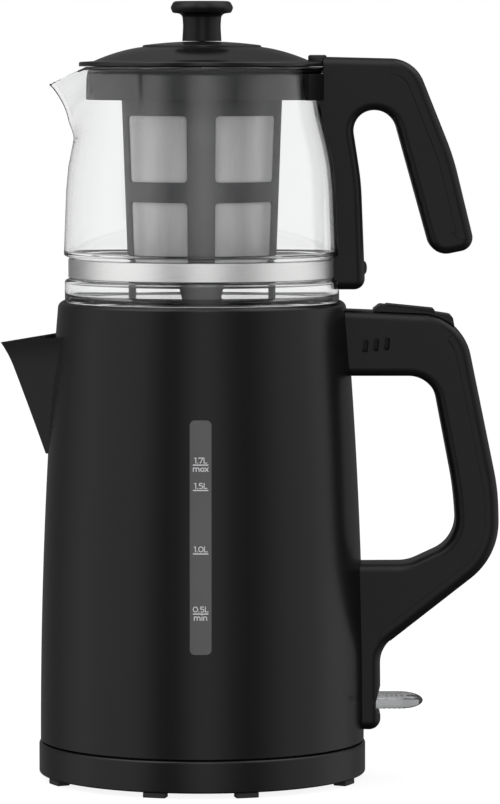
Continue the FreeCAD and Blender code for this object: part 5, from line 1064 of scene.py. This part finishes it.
class TEA_OT_switch_lever(bpy.types.Operator):
    """Make the clear switch lever"""
    bl_idname = "tea.switch_lever"
    bl_label = "Switch lever"

    def execute(self, context):
        """A tongue with a long round nose, grooves below and the hole for its pin."""
        low, high = node_box("switch_lever")
        middle = (LEVER_TOP + LEVER_BOTTOM) / 2
        tall = (LEVER_TOP - LEVER_BOTTOM) / 2
        places = [low[0] + LEVER_BACK * step / 4 for step in range(4)]
        places += [x for x, _ in between((low[0] + LEVER_BACK, 0), (high[0] - LEVER_NOSE, 0), 6)]
        places += [high[0] - LEVER_NOSE * (1 - math.sin(math.radians(7.5 * step))) for step in range(1, 12)]
        around = 48
        verts = []
        for x in places:
            nose = max(0.0, (x - high[0] + LEVER_NOSE) / LEVER_NOSE)
            back = min(1.0, 0.75 + 0.25 * math.sqrt(min(1.0, (x - low[0]) / 1.2)))
            share = math.sqrt(max(0.0, 1 - nose ** 2)) * back
            for across, up in arc(0, 0, 1, 1, 0, 360, around)[:-1]:
                across, up = [math.copysign(abs(part) ** 0.5, part) for part in (across, up)]
                verts.append((x * MM, across * share * high[1] * MM, (middle + up * share * tall) * MM))
        tip, last = len(verts), len(verts) - around
        verts.append((high[0] * MM, 0.0, middle * MM))
        faces = grid_faces(len(places), around)
        faces += [[last + step, last + (step + 1) % around, tip] for step in range(around)]
        faces.append(list(range(around)))
        piece = new_object("clear_lever", verts, faces, 40.0)
        turn_outwards(piece)
        cut_away(piece, self.grooves(high[1]))
        shade(piece, 40.0)
        clear = clear_material("lever_plastic", context.scene.tea_finish.lever, 0.04, 1.49, 0.00005)
        place(piece, clear, "switch_lever", "clear_plastic", "switch_lever")
        return {"FINISHED"}

    def grooves(self, half_width):
        """Cutters for the grooves in the underside and for the pin."""
        start, pitch, count = LEVER_RIBS
        floor, roof = LEVER_BOTTOM - 1.0, LEVER_BOTTOM + 0.7
        cutters = []
        for index in range(count):
            x = start + pitch * index
            groove = [(x, floor), (x + 1.1, floor), (x + 0.9, roof), (x + 0.2, roof)]
            cutters.append(block(groove, half_width + 1))
        low, high = node_box("lever_pin")
        x, z = (low[0] + high[0]) / 2, (low[2] + high[2]) / 2
        radius = (high[0] - low[0]) / 2 + 0.05
        cutters.append(block(arc(x, z, radius, radius, 0, 345, 23), half_width + 1))
        return cutters


# ---- strainer ---------------------------------------------------------------
MESH_OUT = 1.2             # of the wires past the frame's sleeve, so that they lie near the cage's outside
WEAVE_OUT = 0.95           # of the fine weave past the frame's sleeve
WEAVE_THICK = 0.12
WINDOW_ROWS = ((243.7, 274.7), (284.1, 315.1))
WINDOW_MIDDLES = (51.1, 128.9, 231.1, 308.9)       # in degrees
WINDOW_WIDTH = 57.2        # in degrees
CORNER_ROUND = 1.9
CAGE_WALL = 2.2
CAGE_RADIUS, CAGE_Z, CAGE_SLOPE = 34.9, 235.0, 3.1 / 87.6      # radius at a height, and its growth upwards
CORNER_SINK = 0.15         # of the corner pieces into the bars
FLANGE_RADIUS = 55.0       # that the collar's flange is trimmed to


def cage_radius(z):
    """Outer radius of the cage at a height."""
    return CAGE_RADIUS + (z - CAGE_Z) * CAGE_SLOPE


def mesh_radius(z):
    """Outer radius of the mesh sleeve near a height, read from the frame's mesh."""
    return max(math.hypot(vert.co.x, vert.co.y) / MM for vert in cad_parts["strainer_mesh"].data.vertices
               if abs(vert.co.z / MM - z) < 0.5)


def wire_tree(material):
    """Geometry nodes for a sleeve of woven wires: uprights and rings on a slight cone."""
    tree = bpy.data.node_groups.new("woven_sleeve", "GeometryNodeTree")
    sockets = (
        ("Low radius", FLOAT, 0.033), ("High radius", FLOAT, 0.036), ("Bottom", FLOAT, 0.24),
        ("Top", FLOAT, 0.32), ("Uprights", "NodeSocketInt", 300), ("Rings", "NodeSocketInt", 120),
        ("Wire", FLOAT, 0.0001),
    )
    for name, kind, default in sockets:
        tree.interface.new_socket(name=name, in_out="INPUT", socket_type=kind).default_value = default
    tree.interface.new_socket(name="Geometry", in_out="OUTPUT", socket_type="NodeSocketGeometry")
    maker = Shader(tree)
    given = maker.node("NodeGroupInput").outputs
    bottom, top, low, high = [given[name] for name in ("Bottom", "Top", "Low radius", "High radius")]
    height = maker.math("SUBTRACT", top, bottom)
    widening = maker.math("SUBTRACT", high, low)
    place_of = maker.node("GeometryNodeInputPosition")
    spot = maker.node("ShaderNodeSeparateXYZ", Vector=place_of.outputs[0]).outputs

    middle = maker.math("MULTIPLY", maker.math("ADD", low, high), 0.5)
    circle = maker.node("GeometryNodeMeshCircle", Vertices=given["Uprights"], Radius=middle)
    rise = maker.node("ShaderNodeCombineXYZ", Z=maker.math("MULTIPLY", maker.math("ADD", bottom, top), 0.5))
    lifted = maker.node("GeometryNodeTransform", Geometry=circle.outputs["Mesh"], Translation=rise.outputs[0])
    rod = maker.node("GeometryNodeMeshCylinder", fill_type="NGON", Vertices=4, Radius=given["Wire"],
                     Depth=height)
    spin = maker.node("ShaderNodeCombineXYZ", Y=maker.math("ARCTAN2", widening, height),
                      Z=maker.math("ARCTAN2", spot["Y"], spot["X"]))
    uprights = maker.node("GeometryNodeInstanceOnPoints", Points=lifted.outputs[0],
                          Instance=rod.outputs["Mesh"], Rotation=spin.outputs[0])

    start = maker.node("ShaderNodeCombineXYZ", Z=bottom)
    end = maker.node("ShaderNodeCombineXYZ", Z=top)
    line = maker.node("GeometryNodeMeshLine", mode="END_POINTS", Count=given["Rings"],
                      Start_Location=start.outputs[0], Offset=end.outputs[0])
    hoop = maker.node("GeometryNodeCurvePrimitiveCircle", Resolution=60, Radius=1.0)
    thread = maker.node("GeometryNodeCurvePrimitiveCircle", Resolution=4,
                        Radius=maker.math("MULTIPLY", given["Wire"], 0.5))
    share = maker.math("DIVIDE", maker.math("SUBTRACT", spot["Z"], bottom), height)
    radius = maker.math("ADD", low, maker.math("MULTIPLY", share, widening))
    size = maker.node("ShaderNodeCombineXYZ", X=radius, Y=radius, Z=1.0)
    rings = maker.node("GeometryNodeInstanceOnPoints", Points=line.outputs["Mesh"],
                       Instance=hoop.outputs["Curve"], Scale=size.outputs[0])
    real_rings = maker.node("GeometryNodeRealizeInstances", Geometry=rings.outputs[0])
    sweep = maker.node("GeometryNodeCurveToMesh", Curve=real_rings.outputs[0],
                       Profile_Curve=thread.outputs["Curve"])

    both = maker.node("GeometryNodeJoinGeometry", Geometry=uprights.outputs[0])
    maker.fill(both, Geometry=sweep.outputs[0])
    real = maker.node("GeometryNodeRealizeInstances", Geometry=both.outputs[0])
    paint = maker.node("GeometryNodeSetMaterial", Geometry=real.outputs[0], Material=material)
    maker.node("NodeGroupOutput", Geometry=paint.outputs[0])
    return tree


def run_tree(name, tree, values):
    """An object made by a geometry tree with these named inputs, as a plain mesh."""
    piece = new_object(name, [], [])
    maker = piece.modifiers.new("maker", "NODES")
    maker.node_group = tree
    for item in tree.interface.items_tree:
        if item.item_type == "SOCKET" and item.in_out == "INPUT" and item.name in values:
            maker[item.identifier] = values[item.name]
    return settled(piece)


class TEA_OT_strainer(bpy.types.Operator):
    """Make the strainer's frame and its woven mesh"""
    bl_idname = "tea.strainer"
    bl_label = "Strainer"

    def execute(self, context):
        """A smooth copy of the frame and a sleeve of real wires."""
        rim = merged_copy("strainer_frame", "strainer_collar")
        cut_away(rim, [self.flange_cutter()])
        shade(rim, 32.0)
        place(rim, moulded("strainer_plastic"), "strainer", "strainer_plastic", "strainer_frame")
        cage = merged_copy("strainer_basket", "strainer_cage")
        place(cage, moulded("strainer_plastic"), "strainer", "strainer_plastic", "strainer_basket")
        self.window_corners()
        sizes = bpy.context.scene.tea_sizes
        wire = moulded("mesh_wire")
        low, high = mesh_radius(MESH_LOW[2]), MESH_HIGH[0]
        values = {
            "Low radius": (low + MESH_OUT) * MM, "High radius": (high + MESH_OUT) * MM,
            "Bottom": MESH_LOW[2] * MM, "Top": MESH_HIGH[2] * MM,
            "Uprights": sizes.upright_wires, "Rings": sizes.ring_wires, "Wire": sizes.wire,
        }
        piece = run_tree("strainer_weave", wire_tree(wire), values)
        place(piece, wire, "strainer", "mesh_steel", "strainer_mesh")
        self.fine_weave(low + WEAVE_OUT, high + WEAVE_OUT)
        return {"FINISHED"}

    def fine_weave(self, low, high):
        """The close inner weave behind the wires, as a thin opaque sleeve; its pale tone is partly painted
        light that stands for the white seen through the weave.
        """
        bottom, top = MESH_LOW[2], MESH_HIGH[2]
        profile = [(low, bottom), (high, top), (high - WEAVE_THICK, top), (low - WEAVE_THICK, bottom)]
        place(turned("fine_weave", profile, 40.0), woven_steel(), "strainer", "mesh_steel")

    def window_corners(self):
        """The small rounds in the corners of the cage's windows."""
        verts, faces = [], []
        outline = [(-CORNER_SINK, -CORNER_SINK), (CORNER_ROUND, -CORNER_SINK)]
        hollow = arc(0, 0, CORNER_ROUND, CORNER_ROUND, 90, 0, 6)
        outline += [(CORNER_ROUND - x, CORNER_ROUND - z) for x, z in hollow]
        outline += [(-CORNER_SINK, CORNER_ROUND)]
        count = len(outline)
        corners = itertools.product(WINDOW_ROWS, WINDOW_MIDDLES, (-1, 1), (0, 1))
        for row, middle, side, end in corners:
            start = len(verts)
            edge = math.radians(middle + side * WINDOW_WIDTH / 2)
            for depth in (0.0, CAGE_WALL):
                for along, rise in outline:
                    z = row[end] - rise if end else row[end] + rise
                    radius = cage_radius(z)
                    angle = edge - side * along / radius
                    reach = (radius - depth) * MM
                    verts.append((reach * math.cos(angle), reach * math.sin(angle), z * MM))
            near = [start + index for index in range(count)]
            far = [index + count for index in near]
            faces += [near, far[::-1]]
            for index in range(count):
                after = (index + 1) % count
                faces.append([near[index], far[index], far[after], near[after]])
        piece = new_object("window_corners", verts, faces, 32.0)
        turn_outwards(piece)
        place(piece, moulded("strainer_plastic"), "strainer", "strainer_plastic")

    def flange_cutter(self):
        """A ring that trims the collar's flange to the mouth of the glass."""
        low, high = POT_RIM_Z - 8.0, POT_RIM_Z + 8.0
        return turned("flange_cutter", [(FLANGE_RADIUS, low), (70.0, low), (70.0, high), (FLANGE_RADIUS, high)])


# ---- lid --------------------------------------------------------------------
BRIM_THICK = 2.2
LID_UNDER, LID_EDGE = 47.3, 58.3       # inner and outer radius of the brim
DOME_FOOT = (51.3, 0.4)                # radius, and height over the brim
DOME_TOP = (28.3, 347.7)
DOME_BULGE = 0.9
DISC_RADIUS, DISC_Z = 27.2, 348.6      # the stepped disc's edge
KNOB_SIDE = [
    (8.9, 357.5, 20.0), (9.3, 363.2, 2.4), (13.9, 363.8, 1.0), (14.9, 366.2, 1.6),
]
TAB = [(50.4, 339.0), (59.0, 338.5), (59.0, 343.9, 1.0), (50.4, 343.9, 1.0)]
TAB_HALF_WIDTH = 9.0


def lid_profile():
    """The closed section of the domed lid, brim first."""
    brim = LID_LOW[2]
    edge = brim + BRIM_THICK
    foot = (DOME_FOOT[0], edge + DOME_FOOT[1])
    steps = 12
    shares = [step / steps for step in range(steps + 1)]
    dome = [(radius, z + DOME_BULGE * 4 * share * (1 - share))
            for (radius, z), share in zip(between(foot, DOME_TOP, steps), shares)]
    disc = [(DISC_RADIUS * (1 - share), DISC_Z + (LID_HIGH[2] - DISC_Z) * (1 - (1 - share) ** 2))
            for share in shares]
    crown = rounded([(28.1, 347.8), (28.0, 348.4, 0.3), (DISC_RADIUS, DISC_Z)], closed=False)
    under = [(20.0, 346.6), (35.0, 344.0), (LID_UNDER, brim)]
    rim = rounded([(LID_UNDER, brim), (LID_EDGE, brim, 0.5), (LID_EDGE, edge, 0.9), foot], closed=False)
    return rim[1:] + dome[1:] + crown + disc[1:] + under


class TEA_OT_lid(bpy.types.Operator):
    """Make the domed lid with its tab, skirt and mushroom knob"""
    bl_idname = "tea.lid"
    bl_label = "Lid and knob"

    def execute(self, context):
        """Turn the lid and the knob and set the tab at the handle."""
        piece = turned("domed_lid", lid_profile(), 38.0)
        place(piece, moulded("lid_plastic"), "lid", "black_plastic", "lid_cover")
        tab = block(rounded(TAB), TAB_HALF_WIDTH, "lid_tab")
        soften(tab, 0.6)
        settled(tab)
        shade(tab, 35.0)
        place(tab, moulded("lid_plastic"), "lid", "black_plastic")
        self.knob()
        ring = merged_copy("lid_skirt", "lid_centring_ring")
        place(ring, moulded("dark_plastic"), "lid", "matte_plastic", "lid_skirt")
        return {"FINISHED"}

    def knob(self):
        """The mushroom knob with its soft edges."""
        bottom, top = KNOB_LOW[2], KNOB_HIGH[2]
        profile = [(0.0, bottom), (9.3, bottom)] + KNOB_SIDE + [(13.4, top, 2.2), (0.0, top)]
        piece = turned("mushroom_knob", rounded(profile), 45.0, steps=SMALL_ROUND_STEPS * 2)
        place(piece, moulded("handle_plastic"), "lid", "black_plastic", "lid_knob")


# ---- pieces carried over from the frame -------------------------------------
# The nodes that are shown with the frame's own mesh, by their finish.
CARRIED = {
    "dark_plastic": ("base_bottom_cover", "base_socket", "kettle_connector", "teapot_seat",
                     "kettle_bottom_cover", "control_unit", "gauge_case", "steam_duct", "steam_sensor"),
    "zinc_plate": ("base_screws", "socket_screws", "bottom_cover_screws", "handle_screws", "clamp_nut",
                   "clamp_screw", "knob_screw"),
    "contact_brass": ("socket_contacts",),
    "foot_rubber": ("cord_gland",),
    "cast_alloy": ("heat_spreader", "heating_element"),
    "grey_silicone": ("heater_seal", "gauge_seal"),
    "handle_plastic": ("lever_pin",),
    "chamber_steel": ("heater_plate", "strainer_floor_mesh"),
    "lamp_glass": ("indicator_lamp",),
}


class TEA_OT_inner_pieces(bpy.types.Operator):
    """Give the pieces that keep the frame's own shape their finish"""
    bl_idname = "tea.inner_pieces"
    bl_label = "Inner pieces"

    def execute(self, context):
        """Assign materials only; the frame's meshes stay as they are."""
        brushed_steel("chamber_steel", (0.6, 0.6, 0.6), 0.3, 5000.0)
        clear_material("lamp_glass", (0.95, 0.5, 0.2), 0.1, 1.45, 0.00002)
        for finish, nodes in CARRIED.items():
            for node in nodes:
                mesh_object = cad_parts[node]
                if not mesh_object.material_slots:
                    mesh_object.data.materials.append(moulded(finish))
                for slot in mesh_object.material_slots:
                    slot.material = moulded(finish)
        return {"FINISHED"}


# ---- stage ------------------------------------------------------------------
# How bright the studio is round the object, in degrees from the camera towards the right.
STUDIO = ((-170, 0.15), (-140, 0.15), (-123, 0.2), (-108, 0.52), (-92, 0.95), (-70, 0.98), (-46, 1.06),
          (-36, 0.6), (-27, 0.12), (-17, 0.2), (-8, 0.8), (0, 1.12), (6, 1.08), (14, 0.78), (24, 0.32),
          (33, 0.14), (42, 0.3), (52, 0.62), (64, 0.92), (88, 0.88), (101, 1.0), (117, 0.7), (137, 0.2),
          (165, 0.12))


STUDIO_SCALE = 1.3         # brightness that the ramp's full white stands for
OVERHEAD = 3.0             # how many times as bright the studio is overhead
DARK_BELOW = 0.06          # and what share of it is left below
FRONT = -0.15              # Y of a direction; what glass reflects further to the front sees the bands


def studio_world(strength):
    """White to the camera and through glass, banded in reflections, and an even daylight."""
    world = bpy.data.worlds.new("studio")
    bpy.context.scene.world = world
    world.use_nodes = True
    world.node_tree.nodes.clear()
    shader = Shader(world.node_tree)
    coordinates = shader.node("ShaderNodeTexCoord")
    apart = shader.node("ShaderNodeSeparateXYZ", Vector=coordinates.outputs["Generated"]).outputs
    turn = shader.math("ARCTAN2", apart["X"], shader.math("MULTIPLY", apart["Y"], -1.0))
    ramp = shader.node("ShaderNodeValToRGB")
    shader.feed(ramp.inputs[0], shader.math("ADD", shader.math("DIVIDE", turn, TAU), 0.5))
    stops = ramp.color_ramp.elements
    while len(stops) < len(STUDIO):
        stops.new(0.5)
    for stop, (angle, level) in zip(stops, STUDIO):
        stop.position = angle / 360.0 + 0.5
        stop.color = solid([level / STUDIO_SCALE] * 3)
    above = shader.node("ShaderNodeMapRange", interpolation_type="SMOOTHSTEP", Value=apart["Z"], From_Min=0.35,
                        From_Max=0.9, To_Min=STUDIO_SCALE, To_Max=OVERHEAD * STUDIO_SCALE)
    below = shader.node("ShaderNodeMapRange", interpolation_type="SMOOTHSTEP", Value=apart["Z"], From_Min=-0.75,
                        From_Max=-0.2, To_Min=DARK_BELOW, To_Max=1.0)
    banded = shader.node("ShaderNodeBackground", Color=ramp.outputs[0],
                         Strength=shader.math("MULTIPLY", above.outputs[0], below.outputs[0]))
    white = shader.node("ShaderNodeBackground", Color=WHITE, Strength=1.0)
    even = shader.node("ShaderNodeBackground", Color=WHITE, Strength=strength)
    path = shader.node("ShaderNodeLightPath").outputs
    straight = shader.math("LESS_THAN", path["Glossy Depth"], 0.5)
    behind = shader.math("GREATER_THAN", apart["Y"], FRONT)
    through = shader.math("MULTIPLY", path["Is Transmission Ray"], shader.math("MAXIMUM", straight, behind))
    clear = shader.math("MAXIMUM", path["Is Camera Ray"], through)
    lit = shader.mix(path["Is Glossy Ray"], even, banded)
    shader.node("ShaderNodeOutputWorld", Surface=shader.mix(clear, lit, white).outputs[0])


def floor_material():
    """A pale floor that keeps a soft shadow and melts into the white behind it."""
    material = bpy.data.materials.new("pale_floor")
    material.use_nodes = True
    material.node_tree.nodes.clear()
    shader = Shader(material.node_tree)
    matt = shader.node("ShaderNodeBsdfDiffuse", Color=(0.86, 0.86, 0.86, 1))
    glow = shader.node("ShaderNodeEmission", Strength=1.14)
    clear = shader.node("ShaderNodeBsdfTransparent")
    path = shader.node("ShaderNodeLightPath").outputs
    direct = shader.math("MAXIMUM", path["Is Camera Ray"], path["Is Transmission Ray"])
    seen = shader.mix(shader.math("MULTIPLY", direct, 0.78), matt, glow)
    shader.node("ShaderNodeOutputMaterial", Surface=shader.mix(path["Is Glossy Ray"], seen, clear).outputs[0])
    return material


def add_lamp(name, spot, aim, size, power):
    """A square soft lamp that looks at a point."""
    light = bpy.data.lights.new(name, "AREA")
    light.size = size
    light.energy = power
    lamp = bpy.data.objects.new(name, light)
    bpy.context.scene.collection.objects.link(lamp)
    lamp.location = spot
    lamp.rotation_euler = (Vector(aim) - Vector(spot)).to_track_quat("-Z", "Y").to_euler()
    lamp.visible_glossy = False
    lamp.visible_transmission = False


class TEA_OT_stage(bpy.types.Operator):
    """Set the pale floor, the soft light and the camera"""
    bl_idname = "tea.stage"
    bl_label = "Stage"

    def execute(self, context):
        """Floor, world, lamps and camera."""
        stage = bpy.context.scene.tea_stage
        reach = 6.0
        floor = new_object("pale_floor", [(-reach, -reach, 0), (reach, -reach, 0), (reach, reach, 0),
                                          (-reach, reach, 0)], [[0, 1, 2, 3]])
        floor.data.materials.append(floor_material())
        studio_world(stage.daylight)
        aim = (0.0, 0.0, 0.2)
        add_lamp("left_lamp", (-1.1, -0.9, 1.5), aim, 0.9, stage.lamp)
        add_lamp("right_lamp", (1.3, -1.0, 1.1), aim, 0.9, stage.lamp * 0.55)
        add_lamp("top_lamp", (0.1, 0.5, 1.9), aim, 1.1, stage.lamp * 0.7)
        self.camera(stage)
        bpy.context.scene.view_settings.view_transform = "Standard"
        return {"FINISHED"}

    def camera(self, stage):
        """A long lens in front, a little above the lid."""
        lens = bpy.data.cameras.new("front_camera")
        lens.lens = stage.lens
        lens.sensor_width = 36.0
        lens.clip_end = 60.0
        camera = bpy.data.objects.new("front_camera", lens)
        bpy.context.scene.collection.objects.link(camera)
        camera.location = (stage.aside, -stage.distance, stage.height)
        camera.rotation_euler = (math.radians(90.0) - stage.pitch, 0.0, 0.0)
        bpy.context.scene.camera = camera


# ---- panel and run ----------------------------------------------------------
OPERATORS = (
    TEA_OT_stage, TEA_OT_inner_pieces, TEA_OT_power_base, TEA_OT_kettle_body, TEA_OT_kettle_spout,
    TEA_OT_water_gauge, TEA_OT_handles, TEA_OT_thumb_button, TEA_OT_switch_lever, TEA_OT_teapot_glass,
    TEA_OT_steel_band, TEA_OT_strainer, TEA_OT_lid,
)
GROUPS = (TeaMakerFinish, TeaMakerSizes, TeaMakerStage)


class TEA_PT_panel(bpy.types.Panel):
    """Lists the steps that dress the tea maker"""
    bl_idname = "TEA_PT_panel"
    bl_label = "Tea maker"
    bl_space_type = "VIEW_3D"
    bl_region_type = "UI"
    bl_category = "Tea maker"

    def draw(self, context):
        """One button for each step."""
        for operator in OPERATORS:
            self.layout.operator(operator.bl_idname)


def register():
    """Add the settings, the steps and the panel."""
    for item in GROUPS + OPERATORS + (TEA_PT_panel,):
        bpy.utils.register_class(item)
    bpy.types.Scene.tea_finish = PointerProperty(type=TeaMakerFinish)
    bpy.types.Scene.tea_sizes = PointerProperty(type=TeaMakerSizes)
    bpy.types.Scene.tea_stage = PointerProperty(type=TeaMakerStage)


def unregister():
    """Take them away again."""
    del bpy.types.Scene.tea_stage
    del bpy.types.Scene.tea_sizes
    del bpy.types.Scene.tea_finish
    for item in reversed(GROUPS + OPERATORS + (TEA_PT_panel,)):
        bpy.utils.unregister_class(item)


def main():
    """Dress the whole object, step by step."""
    register()
    for operator in OPERATORS:
        step = getattr(bpy.ops.tea, operator.bl_idname.split(".")[1])
        if step() != {"FINISHED"}:
            raise RuntimeError(operator.bl_label + " did not finish")
    bpy.context.view_layer.update()


if __name__ == "__main__":
    main()
